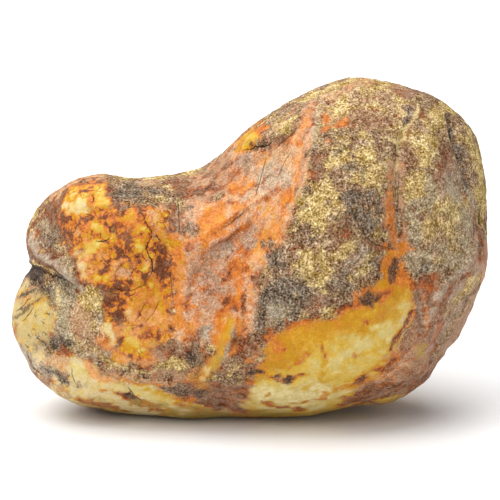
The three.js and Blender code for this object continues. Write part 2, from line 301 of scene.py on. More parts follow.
@dataclass(frozen=True)
class Patch:
    """A wide stretch of one skin, inside a closed outline."""

    skin: Skin
    outline: Sequence[Point]
    opacity: float = 1.0
    ragged: float = 9.0  # how far the edge wanders, in units
    soft: float = 5.0
    fine: float = 0.5  # how much of the fine wander the edge takes beside the wide one
    margin: float = 12.0  # of the patch's box, beyond its ragged edge

    def near(self, places: np.ndarray) -> np.ndarray:
        """The numbers of the places that it may reach."""
        return rows_near(self.outline, self.soft + self.ragged * 2 + self.margin, places)

    def cover(self, places: np.ndarray, wander: np.ndarray) -> np.ndarray:
        """Works out how fully the patch covers places on the drawing.

        Args:
            places: The places, one row each.
            wander: How far an edge strays there, wide and fine, in columns.

        Returns:
            The cover of each place, from 0 to 1.
        """
        path = smooth_path(self.outline, closed=True)
        depth = np.abs(measure_from_path(places, path)[0])
        depth = np.where(inside_outline(places, path), depth, -depth)
        edge = wander[:, 0] + self.fine * wander[:, 1]
        return self.opacity * smooth_step(-self.soft, self.soft, depth + self.ragged * edge)


@dataclass(frozen=True)
class Dab:
    """An oval spot of one skin. A pair of sizes is a least one, and a part for each unit of its half."""

    skin: Skin
    at: Point
    half: Point
    opacity: float = 0.8
    turn: float = 0.0
    ragged: Pair = (1.5, 0.7)  # how far the edge wanders
    soft: Pair = (1.2, 0.18)
    reach: Pair = (5.0, 2.2)  # of its box

    def near(self, places: np.ndarray) -> np.ndarray:
        """The numbers of the places that it may reach."""
        return rows_near([self.at], max(self.half) * self.reach[1] + self.reach[0], places)

    def cover(self, places: np.ndarray, wander: np.ndarray) -> np.ndarray:
        """Works out how fully the spot covers places on the drawing.

        Args:
            places: The places, one row each.
            wander: How far an edge strays there, wide and fine, in columns.

        Returns:
            The cover of each place, from 0 to 1.
        """
        turn = math.radians(self.turn)
        away = places - np.array(self.at)
        along = away[:, 0] * math.cos(turn) - away[:, 1] * math.sin(turn)
        across = away[:, 0] * math.sin(turn) + away[:, 1] * math.cos(turn)
        small = min(self.half)
        depth = (1.0 - np.hypot(along / self.half[0], across / self.half[1])) * small
        ragged, soft = (least + grows * small for least, grows in (self.ragged, self.soft))
        return self.opacity * smooth_step(-soft, soft, depth + ragged * wander[:, 1])


@dataclass(frozen=True)
class Streak:
    """A run of one skin along a line. A pair of sizes is a least one, and a part for each unit of width."""

    skin: Skin
    path: Sequence[Point]
    width: float
    opacity: float = 0.6
    ragged: float = 0.6  # how far the edge wanders, as a share of the width
    taper: float = 0.16  # share of the length over which either end narrows
    tip: float = 0.4  # width of the ends beside the middle
    soft: Pair = (0.5, 0.12)
    reach: Pair = (4.0, 2.5)  # of its box

    def near(self, places: np.ndarray) -> np.ndarray:
        """The numbers of the places that it may reach."""
        return rows_near(self.path, self.width * self.reach[1] + self.reach[0], places)

    def cover(self, places: np.ndarray, wander: np.ndarray) -> np.ndarray:
        """Works out how fully the run covers places on the drawing.

        Args:
            places: The places, one row each.
            wander: How far an edge strays there, wide and fine, in columns.

        Returns:
            The cover of each place, from 0 to 1.
        """
        gap, share = measure_from_path(places, smooth_path(self.path))
        narrowed = fade_ends(share, self.taper) * (1.0 - self.tip) + self.tip
        depth = self.width * 0.5 * narrowed - np.abs(gap)
        soft = self.soft[0] + self.soft[1] * self.width
        return self.opacity * smooth_step(-soft, soft, depth + self.ragged * self.width * wander[:, 1])


class Profile(Enum):
    """The section of a raised or sunk line."""

    RIDGE = "ridge"
    STEP = "step"  # full height on the line's left, falling off sharply on its right


@dataclass(frozen=True)
class Fold:
    """A line of low relief: height in millimetres, over 0 for raised and under 0 for sunk."""

    path: Sequence[Point]
    width: float
    height: float
    profile: Profile = Profile.RIDGE
    fade: float = 0.22  # share of the length over which either end rises
    drop: Pair = (0.8, -1.6)  # where a step's sharp side ends and starts, in units from the line
    reach: Pair = (3.0, 4.0)  # of its box: a least one, and a part for each unit of width

    def near(self, places: np.ndarray) -> np.ndarray:
        """The numbers of the places that it may reach."""
        return rows_near(self.path, self.width * self.reach[1] + self.reach[0], places)

    def rise(self, places: np.ndarray) -> np.ndarray:
        """Works out the height that the line adds.

        Args:
            places: The places on the drawing, one row each.

        Returns:
            The height at each place, in millimetres.
        """
        gap, share = measure_from_path(places, smooth_path(self.path))
        hill = np.exp(-((gap / self.width) ** 2) * 2.0)
        if self.profile is Profile.STEP:
            hill = np.exp(-np.abs(gap) / self.width) * smooth_step(*self.drop, gap)
        return self.height * fade_ends(share, self.fade) * hill


@dataclass(frozen=True)
class Crack:
    """A thin dark crack."""

    path: Sequence[Point]
    width: float = 1.3
    depth_mm: float = 0.35
    dark: float = 1.0
    fade: float = 0.2  # share of the length over which either end closes
    known: Pair = (6.5, 3.5)  # how far from the line the crack is kept on the mesh, not at all and fully
    groove: float = 2.4  # least half width of its sunk line, which a mesh can just show
    reach: float = 9.0  # of its box

    def near(self, places: np.ndarray) -> np.ndarray:
        """The numbers of the places that it may reach."""
        return rows_near(self.path, self.reach, places)


@dataclass(frozen=True)
class Sheet:
    """All that is drawn on one side of the stone, from the lowest layer up."""

    outlook: Outlook
    ground: Skin
    layers: Sequence[Patch | Dab | Streak]
    folds: Sequence[Fold]
    cracks: Sequence[Crack]


FRONT_LAYERS = (
    # --- wide stretches of skin
    Patch(UMBER, [(24, 200), (58, 178), (96, 168), (104, 176), (70, 196), (64, 230), (80, 262), (96, 292),
        (60, 278), (24, 262)], ragged=6),
    Patch(NODULE, [(68, 192), (88, 180), (112, 180), (124, 198), (150, 206), (176, 214), (180, 250),
        (174, 300), (168, 345), (140, 364), (118, 350), (102, 322), (106, 296), (86, 286), (74, 256),
        (58, 232), (58, 212)], ragged=8),
    Patch(SALMON, [(184, 176), (212, 162), (240, 142), (262, 148), (285, 128), (303, 100), (318, 106),
        (312, 150), (302, 190), (289, 222), (276, 250), (262, 285), (254, 325), (236, 348), (205, 348),
        (178, 340), (170, 300), (172, 250), (178, 205)], ragged=7),
    Patch(ROSE, [(188, 268), (206, 240), (236, 216), (262, 190), (284, 168), (296, 130), (308, 106),
        (304, 150), (290, 190), (270, 222), (250, 262), (244, 296), (240, 318), (210, 330), (190, 318)],
        0.55, ragged=8, soft=10),
    Patch(BUFF, [(6, 292), (28, 284), (48, 298), (54, 330), (50, 352), (92, 358), (104, 380), (140, 382),
        (172, 392), (200, 400), (232, 402), (232, 430), (150, 428), (80, 412), (30, 384), (4, 340)],
        ragged=6),
    Patch(AMBER, [(260, 348), (290, 327), (329, 313), (362, 298), (380, 284), (398, 270), (415, 282),
        (415, 306), (398, 345), (380, 374), (392, 392), (360, 412), (300, 422), (240, 415), (236, 394),
        (252, 374), (264, 356)], ragged=5),
    Patch(CREAM, [(280, 372), (304, 350), (334, 338), (364, 328), (390, 314), (412, 292), (415, 312),
        (400, 342), (380, 370), (386, 394), (352, 410), (300, 420), (244, 414), (240, 396), (256, 388)],
        ragged=8, soft=18),
    Patch(PLUM, [(158, 388), (178, 378), (206, 377), (232, 380), (252, 384), (262, 400), (244, 412),
        (214, 408), (188, 408)], ragged=7),
    Patch(BARK, [(414, 284), (440, 286), (456, 274), (480, 248), (500, 240), (500, 290), (474, 335),
        (444, 376), (412, 400), (384, 412), (366, 402), (352, 396), (378, 376), (397, 348), (413, 313)],
        ragged=6),
    Patch(MOSS, [(406, 190), (440, 176), (470, 200), (474, 232), (464, 262), (436, 278), (404, 270)], 0.75),
    Patch(MOSS, [(56, 282), (76, 286), (100, 292), (104, 312), (100, 336), (110, 352), (90, 358), (70, 344),
        (56, 326), (48, 298)], ragged=5),
    # --- upper left: the rim, then nodules of every stage
    Streak(STRAW, [(28, 244), (30, 224), (38, 210), (52, 198)], 7, 0.85),
    Dab(STRAW, (41, 219), (6, 5), 0.85, 30),
    Streak(SLATE, [(36, 254), (35, 238), (41, 228), (48, 224)], 6, 0.8),
    Streak(TAN, [(31, 252), (32, 240), (35, 230)], 3, 0.7),
    Patch(UMBER, [(34, 226), (46, 208), (60, 206), (66, 224), (64, 248), (50, 254), (38, 244)], 0.6,
        ragged=4),
    Dab(MOSS, (48, 226), (7, 11), 0.6, 20),
    Dab(SLATE, (55, 228), (5, 8), 0.7, 20),
    Dab(SLATE, (53, 244), (10, 9), 0.8, 30),
    Dab(STRAW, (62, 252), (7, 7), 0.6, 30),
    Dab(MOSS, (68, 264), (10, 10), 0.85, 30),
    Dab(RUST, (66, 226), (8, 8)),
    Dab(UMBER, (74, 222), (10, 6), 0.8, 20),
    Dab(UMBER, (68, 238), (8, 7), 0.75),
    Dab(TAN, (78, 232), (6, 5), 0.6),
    Patch(PEACH, [(74, 242), (88, 236), (100, 246), (106, 262), (102, 280), (90, 286), (78, 272),
        (72, 256)], 0.75, ragged=5),
    Patch(HONEY, [(67, 202), (74, 188), (90, 182), (106, 184), (113, 198), (107, 213), (92, 215), (76, 217),
        (67, 211)], 0.95, ragged=7, soft=7),
    Streak(TAN, [(46, 200), (62, 190), (78, 181), (96, 176), (114, 175)], 6, 0.85),
    Dab(BUFF, (79, 207), (11, 10), 0.9),
    Dab(CREAM, (101, 198), (10, 9), 0.85),
    Dab(OLIVE, (96, 207), (6, 5), 0.5),
    Dab(RUST, (91, 197), (3, 8), 0.7),
    Dab(LIVER, (84, 190), (3, 2.4)),
    Dab(UMBER, (115, 190), (8, 12), 0.9, 20),
    Dab(PLUM, (118, 206), (7, 8)),
    Dab(RUST, (80, 220), (9, 4), 0.8, 10),
    Dab(LIVER, (112, 214), (7, 4), 0.7, -20),
    Dab(CREAM, (101, 229), (12, 8), 0.9, 5),
    Dab(SOOT_AND_SHADE, (113, 231), (3, 5), 0.75),
    Dab(RUST, (86, 227), (6, 6), 0.75),
    Dab(RUST, (108, 245), (9, 4), 0.9, -20),
    Dab(LIVER, (116, 250), (7, 4), 0.8, -20),
    Dab(CREAM, (90, 249), (15, 10), 0.9, 10),
    Dab(HONEY, (80, 243), (6, 8), 0.85),
    Dab(SOOT_AND_SHADE, (81, 250), (2.5, 5), 0.7),
    Dab(UMBER, (72, 258), (6, 6), 0.7),
    Dab(BUFF, (84, 270), (11, 11), 0.95, 10),
    Dab(CREAM, (99, 279), (12, 7), 0.9, -25),
    Dab(HONEY, (96, 262), (12, 5)),
    Dab(LIVER, (104, 272), (3.5, 3), 0.85),
    Dab(PEACH, (114, 267), (8, 12), 0.85),
    Dab(RUST, (122, 249), (7, 7)),
    Dab(ORANGE, (131, 222), (14, 10), 0.9),
    Dab(RUST, (118, 222), (5, 8), 0.7),
    Dab(LIVER, (128, 237), (8, 3), 0.6, -30),
    Dab(HONEY, (137, 248), (10, 9), 0.95),
    Dab(CREAM, (139, 247), (5, 4), 0.6),
    Dab(HONEY, (143, 226), (6, 8)),
    Dab(HONEY, (127, 214), (6, 5)),
    Dab(HONEY, (112, 238), (4, 3), 0.7),
    Dab(SOOT_AND_SHADE, (126, 232), (5, 2.4), 0.5, 30),
    Dab(LIVER, (130, 243), (4, 6), 0.7, 20),
    Dab(LIVER, (112, 256), (6, 3), 0.6),
    Dab(HONEY, (147, 288), (8, 5), 0.7),
    Dab(CREAM, (160, 300), (4, 5), 0.7),
    Dab(LIVER, (139, 300), (4, 7), 0.7, 20),
    Dab(LIVER, (142, 326), (7, 4), 0.7, 10),
    Dab(HONEY, (164, 326), (6, 6), 0.7),
    Dab(RUST, (146, 239), (5, 5), 0.7),
    Dab(ROSE, (133, 267), (9, 9), 0.85),
    Dab(PEACH, (146, 265), (6, 9)),
    Dab(RUST, (139, 258), (7, 3), 0.7),
    Dab(PEACH, (138, 277), (10, 5), 0.85, 10),
    Dab(RUST, (122, 284), (12, 5)),
    Dab(LIVER, (106, 293), (9, 12), 0.9, 20),
    Dab(SOOT_AND_SHADE, (115, 294), (7, 6), 0.7),
    Dab(RUST, (112, 306), (9, 8), 0.85),
    Dab(RUST, (128, 296), (8, 5), 0.7),
    Dab(LIVER, (121, 314), (7, 12), 0.95),
    Dab(SOOT_AND_SHADE, (120, 322), (4, 5), 0.6),
    Dab(BUFF, (133, 312), (7, 6), 0.8, -20),
    Dab(ORANGE, (152, 302), (15, 18), 0.95),
    Dab(HONEY, (157, 296), (9, 9)),
    Dab(PEACH, (150, 318), (14, 9), 0.85, 10),
    Dab(PEACH, (144, 336), (8, 7), 0.7),
    Dab(BUFF, (111, 333), (8, 11), 0.95, 10),
    Dab(LIVER, (121, 336), (3.5, 11), 0.9, 10),
    Patch(PEACH, [(126, 300), (150, 288), (168, 300), (172, 330), (158, 352), (136, 356), (122, 344)], 0.35,
        ragged=6),
    Dab(PEACH, (136, 340), (16, 14)),
    Dab(HONEY, (133, 347), (12, 11), 0.9),
    Dab(CREAM, (131, 342), (8, 7), 0.7),
    Dab(RUST, (148, 334), (8, 5), 0.75, 20),
    Dab(OLIVE, (158, 346), (9, 8), 0.6),
    Dab(SALMON, (158, 222), (9, 14), 0.9),
    Dab(AMBER, (162, 234), (4, 7), 0.6),
    Dab(PEACH, (160, 220), (8, 12), 0.6),
    Dab(PLUM, (173, 226), (4.5, 16), 0.9),
    Dab(PLUM, (172, 208), (6, 6)),
    Dab(LIVER, (163, 264), (8, 14), 0.95, 5),
    Dab(PLUM, (164, 262), (4, 8), 0.6, 5),
    Dab(RUST, (155, 250), (5, 7)),
    # --- the saddle
    Patch(CRUST, [(106, 170), (140, 172), (186, 168), (196, 190), (182, 204), (160, 204), (136, 202),
        (118, 194)], ragged=5),
    Dab(SLATE, (130, 192), (14, 9), 0.85),
    Dab(SLATE, (158, 190), (18, 7), 0.7),
    Streak(STRAW, [(112, 174), (140, 178), (170, 176), (200, 168)], 6, 0.85),
    Dab(UMBER, (176, 186), (10, 8), 0.7),
    Dab(TAN, (150, 183), (10, 4), 0.6),
    # --- crease at the left end, and the lower lobe
    Patch(SAND, [(72, 296), (92, 288), (102, 300), (98, 322), (104, 340), (88, 348), (72, 334), (66, 314)],
        0.8, ragged=4),
    Dab(STRAW, (90, 298), (12, 12), 0.7, 20),
    Dab(TAN, (78, 322), (9, 16), 0.6),
    Streak(ASH, [(29, 236), (34, 250), (48, 263), (64, 274), (84, 289)], 7, 0.85),
    Streak(PLUM, [(30, 250), (44, 264), (62, 279), (78, 292)], 3, 0.7),
    Streak(SLATE, [(22, 252), (32, 262), (46, 272), (62, 284), (72, 296)], 7, 0.9),
    Streak(STRAW, [(28, 258), (40, 266), (50, 277)], 3, 0.85),
    # Painted shade: the near-black dab darkens the crease's pocket; the slate dabs below are partly dark
    # skin, partly painted shade.
    Dab(SOOT_AND_SHADE, (35, 276), (14, 9), 0.95, -35),
    Dab(SLATE, (30, 292), (9, 6), 0.7, -30),
    Dab(SLATE, (44, 292), (8, 12), 0.8, 20),
    Dab(MOSS, (66, 304), (7, 14), 0.6),
    Streak(THREAD, [(56, 286), (58, 300), (57, 312), (61, 324)], 3, 0.8),
    Dab(TAN, (24, 302), (13, 9), 0.8, -30),
    Dab(UMBER, (14, 330), (5, 13), 0.6),
    Dab(OLIVE, (36, 304), (9, 5), 0.6, 30),
    Dab(BUFF, (38, 324), (12, 16), 0.9, 10),
    Patch(OLIVE, [(8, 300), (24, 288), (50, 296), (52, 330), (44, 352), (20, 352), (8, 330)], 0.42,
        ragged=4),
    Streak(SOOT_AND_SHADE, [(15, 302), (24, 294), (32, 289)], 2.4, 0.85),
    Streak(SOOT_AND_SHADE, [(20, 313), (30, 304), (38, 300)], 2, 0.8),
    Streak(SOOT_AND_SHADE, [(15, 326), (22, 316), (30, 309)], 2, 0.7),
    Streak(UMBER, [(12, 340), (18, 330), (24, 322)], 2.4),
    Dab(SLATE, (58, 343), (14, 8), 0.95, 5),
    Dab(MOSS, (38, 348), (10, 5), 0.8, 20),
    # --- underside at the left
    Dab(RUST, (66, 351), (8, 4)),
    Streak(ASH, [(20, 346), (30, 360), (46, 372), (64, 380)], 11, 0.9),
    Streak(PLUM, [(22, 356), (36, 372), (56, 384)], 4, 0.75),
    Streak(BARK, [(30, 372), (50, 386), (76, 397), (98, 403)], 7, 0.8),
    Dab(SLATE, (58, 376), (14, 4), 0.8, -30),
    Dab(TAN, (59, 363), (11, 7), 0.85, -20),
    Dab(PALE, (79, 368), (8, 10), 0.95, 10),
    Streak(PEACH, [(82, 354), (90, 368), (102, 380), (118, 386)], 5, 0.9),
    Dab(SLATE, (80, 385), (10, 5), 0.95, -25),
    Streak(TAN, [(104, 376), (130, 380), (158, 382), (178, 384)], 7, 0.85),
    Streak(ORANGE, [(112, 382), (140, 386), (168, 386)], 3, 0.7),
    Streak(PALE, [(116, 386), (134, 392), (162, 398)], 8, 0.85),
    # The olive runs along the bottom edge, this one and those below, are partly olive stain, partly painted
    # shade on the underside.
    Streak(OLIVE, [(56, 390), (84, 400), (112, 404)], 6),
    Streak(RUST, [(100, 391), (120, 395), (138, 397)], 2.4),
    Streak(UMBER, [(119, 393), (134, 400), (154, 408), (174, 416)], 8, 0.9),
    Streak(SOOT_AND_SHADE, [(126, 394), (138, 401)], 3, 0.8),
    Streak(OLIVE, [(66, 402), (100, 410), (130, 414)], 7, 0.8),
    Streak(PALE, [(150, 396), (178, 404), (206, 408)], 6, 0.75),
    Streak(UMBER, [(176, 404), (200, 411), (230, 414)], 4),
    Streak(OLIVE, [(160, 413), (200, 416), (240, 416)], 7, 0.8),
    Streak(OLIVE, [(136, 403), (176, 410), (218, 412)], 8),
    Streak(UMBER, [(78, 397), (98, 404), (128, 412)], 4, 0.75),
    Streak(HONEY, [(142, 391), (166, 397), (196, 400)], 4),
    Streak(PLUM, [(208, 396), (226, 406), (248, 409)], 7),
    # --- gritty border over the windows
    Streak(BARK, [(86, 336), (100, 352), (122, 364), (146, 370), (176, 370), (204, 372)], 15, 0.9),
    Streak(STRAW, [(88, 340), (104, 356), (126, 368), (152, 374)], 7, 0.9),
    Dab(ORANGE, (104, 342), (8, 6), 0.7, 30),
    Dab(HONEY, (122, 356), (9, 5), 0.7, 20),
    Dab(ORANGE, (158, 356), (12, 7)),
    Dab(HONEY, (168, 352), (6, 4), 0.7),
    Dab(UMBER, (146, 366), (12, 4), 0.6),
    Streak(PEACH, [(108, 346), (130, 360), (164, 362)], 7),
    Streak(THREAD, [(96, 350), (112, 362), (130, 370)], 2.4, 0.7),
    Streak(THREAD, [(150, 372), (164, 366), (180, 370)], 2.4, 0.7),
    Streak(STRAW, [(152, 368), (166, 364), (182, 368)], 4, 0.8),
    # --- scoop: dust, rust and broken layers, with painted shade under the ledges and painted highlights on them
    Patch(BARK, [(184, 184), (206, 170), (232, 160), (252, 152), (256, 168), (246, 184), (230, 196),
        (212, 203), (196, 206), (184, 202)], 0.9, ragged=5),
    Dab(UMBER, (206, 188), (13, 9), 0.75, 20),
    Dab(ROSE, (234, 170), (14, 8), 0.7, 35),
    Dab(STRAW, (219, 199), (9, 4), 0.75, 10),
    # Painted shade: a dark umber line beneath the ledge's edge.
    Streak(UMBER, [(206, 207), (222, 203), (242, 204)], 4, 0.8),
    Patch(TAN, [(258, 170), (272, 150), (292, 150), (296, 172), (288, 186), (268, 194), (256, 190)], 0.95,
        ragged=5),
    Dab(MOSS, (275, 178), (12, 10), 0.5),
    Streak(UMBER, [(232, 178), (246, 166), (258, 152)], 3),
    Streak(PEACH, [(256, 176), (264, 162), (270, 152)], 5, 0.7),
    Dab(BARK, (220, 166), (14, 6), 0.8, 30),
    Streak(UMBER, [(190, 178), (212, 176), (236, 160)], 4),
    Streak(RUST, [(200, 194), (222, 186), (246, 170)], 3, 0.45),
    Dab(UMBER, (280, 140), (15, 6), 0.65, 40),
    Streak(ORANGE, [(310, 104), (305, 126), (301, 150), (298, 176), (290, 200), (276, 226), (262, 252)],
        10),
    Streak(UMBER, [(316, 116), (308, 134), (298, 148)], 5),
    # A peach streak on the crest: partly peach skin, partly a painted highlight.
    Streak(PEACH, [(303, 142), (299, 160), (300, 178)], 4, 0.8),
    Streak(TAN, [(312, 140), (307, 168), (301, 192), (286, 222), (274, 246)], 4, 0.85),
    Patch(TAN, [(238, 196), (262, 176), (284, 150), (300, 116), (304, 150), (298, 180), (284, 206),
        (262, 226), (246, 214)], 0.45, ragged=8, soft=8),
    Streak(BARK, [(314, 112), (306, 138), (302, 166), (294, 190)], 4, 0.75),
    Dab(ORANGE, (240, 187), (12, 8), 0.95, 25),
    Dab(CRUST, (214, 201), (7, 4), 0.7, 10),
    Dab(CRUST, (252, 226), (5, 4), 0.7),
    Dab(CRUST, (183, 250), (7, 6), 0.6),
    Dab(RUST, (233, 192), (6, 4), 0.6, 25),
    Patch(SALMON, [(250, 208), (260, 192), (276, 186), (284, 192), (278, 206), (262, 216), (250, 218)],
        0.85, ragged=4),
    Dab(TAN, (262, 199), (8, 5), 0.6, 30),
    Streak(BARK, [(272, 226), (284, 210), (296, 192), (303, 176)], 4, 0.7),
    Dab(ORANGE, (288, 198), (7, 13), 0.95, -25),
    Dab(ASH, (247, 196), (7, 8), 0.5),
    Patch(ORANGE, [(198, 228), (204, 212), (222, 206), (242, 204), (246, 210), (228, 219), (214, 233),
        (200, 238)], 0.95, ragged=4),
    # A pink spot on the ledge's top: partly salmon skin, partly a painted highlight.
    Dab(SALMON, (228, 210), (12, 5), 0.85, 15),
    Dab(AMBER, (217, 226), (4, 6), 0.6),
    Streak(SLATE, [(190, 204), (188, 220), (196, 236)], 9, 0.7),
    Dab(UMBER, (183, 193), (9, 7), 0.85),
    Streak(UMBER, [(180, 198), (181, 216), (183, 234)], 4),
    Streak(PLUM, [(172, 206), (173, 226), (171, 246)], 5, 0.7),
    Patch(ROSE, [(202, 246), (222, 232), (246, 220), (256, 212), (262, 222), (252, 240), (240, 258),
        (222, 268), (206, 266), (196, 258)], 0.95, ragged=5),
    Patch(ROSE, [(186, 270), (204, 262), (226, 268), (224, 284), (212, 300), (200, 308), (190, 304),
        (182, 288)], 0.95, ragged=5),
    Streak(PLUM, [(190, 278), (186, 300), (188, 326)], 7, 0.7),
    Streak(ORANGE, [(172, 238), (176, 262), (178, 290), (176, 318), (184, 334)], 10, 0.9),
    Streak(PEACH, [(178, 262), (180, 290), (178, 314)], 5, 0.85),
    Dab(ASH, (187, 249), (6, 5), 0.6),
    Streak(PEACH, [(190, 258), (206, 248), (228, 232)], 5, 0.7),
    Patch(PEACH, [(252, 252), (256, 234), (266, 226), (277, 226), (272, 244), (262, 260), (254, 266)], 0.9,
        ragged=4),
    Dab(AMBER, (261, 238), (5, 9), 0.6, -20),
    # Rust along the ledges' broken edges: partly stain, partly painted shade beneath each ledge.
    *(Streak(RUST, path, 2.8, 0.65) for path in (
        [(290, 182), (270, 196), (247, 211), (222, 228), (200, 242)],
        [(262, 206), (250, 222), (226, 240), (204, 256)],
        [(268, 214), (258, 234), (244, 256), (222, 274)],
        [(286, 160), (262, 182), (236, 198)],
        [(212, 262), (196, 278), (190, 300)])),
    Patch(BARK, [(196, 262), (216, 246), (242, 232), (258, 214), (268, 220), (256, 244), (238, 264),
        (222, 276), (204, 276)], 0.4, ragged=7, soft=7),
    Dab(ASH, (250, 168), (8, 10), 0.45, 30),
    Patch(ASH, [(258, 178), (270, 164), (288, 162), (291, 180), (278, 190), (262, 192)], 0.6, ragged=5),
    Dab(TAN, (246, 176), (9, 5), 0.6, 35),
    Dab(ASH, (226, 250), (12, 5), 0.45, 35),
    Dab(ORANGE, (214, 238), (12, 4), 0.75, 35),
    Dab(ORANGE, (268, 244), (6, 11), 0.7, -25),
    Dab(PEACH, (262, 218), (8, 4), 0.7, 35),
    Dab(EMBER, (192, 244), (6, 5), 0.7),
    Dab(EMBER, (180, 310), (4, 10), 0.6),
    Dab(PLUM, (212, 282), (8, 12), 0.5, 10),
    Dab(RUST, (242, 254), (7, 8), 0.95, -20),
    Dab(ASH, (249, 243), (5, 7), 0.6),
    Dab(RUST, (234, 270), (10, 6), 0.9, 30),
    Dab(UMBER, (228, 280), (8, 5), 0.85, 30),
    Dab(ASH, (227, 289), (8, 3), 0.6, 10),
    Dab(RUST, (233, 301), (13, 9), 0.98),
    Dab(ORANGE, (240, 297), (6, 5), 0.7),
    Dab(ORANGE, (224, 322), (9, 11), 0.9),
    Dab(EMBER, (236, 286), (7, 9), 0.85, 20),
    Dab(EMBER, (240, 306), (7, 8), 0.85),
    Dab(EMBER, (226, 328), (6, 10), 0.8, 20),
    Dab(EMBER, (214, 330), (4, 8), 0.6, 20),
    Dab(LIVER, (236, 308), (7, 4), 0.8, 30),
    Dab(LIVER, (229, 296), (6, 3), 0.75),
    Dab(LIVER, (214, 322), (3, 7), 0.6),
    Dab(RUST, (220, 314), (7, 4)),
    Patch(SALMON, [(248, 292), (262, 296), (262, 316), (256, 334), (248, 338), (247, 316)], 0.9, ragged=3),
    Dab(UMBER, (257, 283), (12, 8), 0.75, 20),
    Streak(UMBER, [(245, 288), (244, 312), (243, 330), (234, 352)], 5, 0.85),
    Dab(ORANGE, (190, 326), (7, 8), 0.7),
    Dab(ASH, (207, 334), (6, 10), 0.85, 15),
    Dab(UMBER, (196, 340), (7, 8), 0.7),
    Patch(BARK, [(158, 352), (172, 344), (196, 346), (212, 356), (236, 346), (258, 340), (262, 360),
        (246, 376), (214, 378), (180, 376), (164, 368)], ragged=6),
    Patch(CRUST, [(176, 350), (196, 348), (212, 358), (236, 350), (256, 352), (246, 374), (214, 376),
        (184, 374)], 0.7, ragged=6),
    Dab(UMBER, (244, 352), (14, 14), 0.85),
    Dab(UMBER, (184, 354), (15, 10), 0.75),
    Dab(ORANGE, (250, 362), (10, 5), 0.6, 30),
    Dab(STRAW, (176, 366), (11, 6)),
    Dab(STRAW, (236, 368), (9, 7), 0.7),
    Dab(SLATE, (195, 358), (6, 10), 0.75, 15),
    Patch(AMBER, [(230, 312), (239, 318), (237, 334), (228, 352), (221, 370), (212, 388), (196, 390),
        (191, 378), (203, 362), (210, 344), (216, 326), (222, 314)], 0.85, ragged=6, soft=6),
    Streak(OLIVE, [(234, 320), (228, 338), (220, 356), (211, 376)], 7, 0.65),
    Streak(ORANGE, [(228, 312), (217, 330), (210, 348)], 6, 0.7),
    Streak(LIVER, [(240, 312), (238, 330), (230, 350)], 4),
    Streak(BUFF, [(210, 368), (202, 384)], 8, 0.8),
    Streak(ASH, [(238, 326), (230, 344), (222, 364)], 2.5, 0.8),
    Dab(SOOT_AND_SHADE, (199, 393), (9, 4)),
    Dab(SLATE, (178, 392), (13, 5), 0.7, -10),
    # --- brow, with painted shade in its notch
    Patch(CRUST, [(262, 128), (280, 112), (300, 98), (310, 102), (300, 120), (284, 134), (268, 142)], 0.9,
        ragged=4),
    Dab(STRAW, (284, 126), (14, 5), 0.8, 40),
    Streak(TAN, [(266, 138), (282, 122), (300, 106)], 4, 0.7),
    Dab(ORANGE, (266, 128), (6, 5), 0.7, 40),
    Patch(HONEY, [(236, 149), (243, 139), (252, 131), (262, 126), (262, 134), (257, 143), (250, 151)], 0.98,
        ragged=2),
    Dab(CREAM, (250, 139), (7, 8), 0.9, 35),
    Dab(RUST, (263, 130), (3.5, 5), 0.85),
    # Painted shade: a near-black dab in the notch under the brow.
    Dab(SOOT_AND_SHADE, (262, 146), (10, 5), 0.9, 12),
    # --- the head's rind
    Dab(STRAW, (322, 206), (15, 30), 0.95, -15),
    Dab(STRAW, (310, 268), (18, 18), 0.9),
    Dab(STRAW, (350, 158), (26, 15), 0.9, -15),
    Dab(STRAW, (378, 176), (14, 14), 0.85),
    Dab(STRAW, (360, 182), (9, 8), 0.7),
    Dab(STRAW, (426, 140), (12, 22), 0.85, 15),
    Dab(STRAW, (418, 188), (10, 14), 0.6),
    Dab(STRAW, (444, 214), (12, 16), 0.5),
    Patch(SAND, [(318, 92), (344, 82), (380, 82), (404, 90), (412, 112), (398, 128), (362, 128), (336, 124),
        (320, 116)], 0.85, ragged=6),
    Dab(UMBER, (364, 118), (24, 7), 0.5, -5),
    Dab(UMBER, (316, 165), (6, 14), 0.7),
    Dab(UMBER, (446, 160), (8, 22), 0.6, -10),
    Dab(ROSE, (440, 196), (8, 12), 0.35),
    Dab(UMBER, (428, 222), (12, 10), 0.5),
    Dab(ASH, (446, 246), (12, 16), 0.5, 15),
    Dab(SLATE, (354, 168), (10, 7), 0.75),
    Dab(SLATE, (338, 152), (8, 6), 0.7),
    Dab(SLATE, (368, 212), (17, 20), 0.92, -15),
    Dab(SLATE, (352, 196), (9, 10)),
    Dab(UMBER, (345, 232), (14, 12), 0.7),
    Dab(ASH, (356, 258), (16, 12), 0.5),
    Dab(STRAW, (344, 250), (10, 8), 0.5),
    Dab(SLATE, (276, 262), (9, 16), 0.85, 30),
    Patch(SLATE, [(258, 306), (266, 284), (288, 278), (306, 288), (308, 306), (296, 322), (276, 334),
        (262, 344), (256, 328)], 0.95, ragged=5),
    Dab(MOSS, (277, 314), (10, 9), 0.85),
    Dab(ASH, (276, 316), (6, 4), 0.6, 20),
    Dab(PLUM, (322, 302), (20, 8), 0.8, 25),
    Dab(SLATE, (338, 290), (16, 10), 0.6, 25),
    # Painted light: straw and tan laid paler along the head's top rim, partly straw crumbs, partly light
    # from above.
    Streak(STRAW, [(300, 100), (330, 86), (362, 82), (396, 88)], 9, 0.9),
    Streak(TAN, [(322, 96), (344, 87), (372, 84)], 6, 0.7),
    Dab(STRAW, (440, 118), (14, 10), 0.8, 40),
    Dab(SAND, (416, 128), (12, 20), 0.6, 10),
    Dab(SAND, (444, 236), (14, 26), 0.6, 10),
    Dab(ASH, (454, 178), (9, 22), 0.5, -12),
    Dab(PLUM, (406, 92), (12, 7), 0.85, -15),
    Dab(SLATE, (408, 114), (5, 10), 0.8, 15),
    Streak(UMBER, [(420, 106), (411, 126), (406, 148)], 7, 0.9),
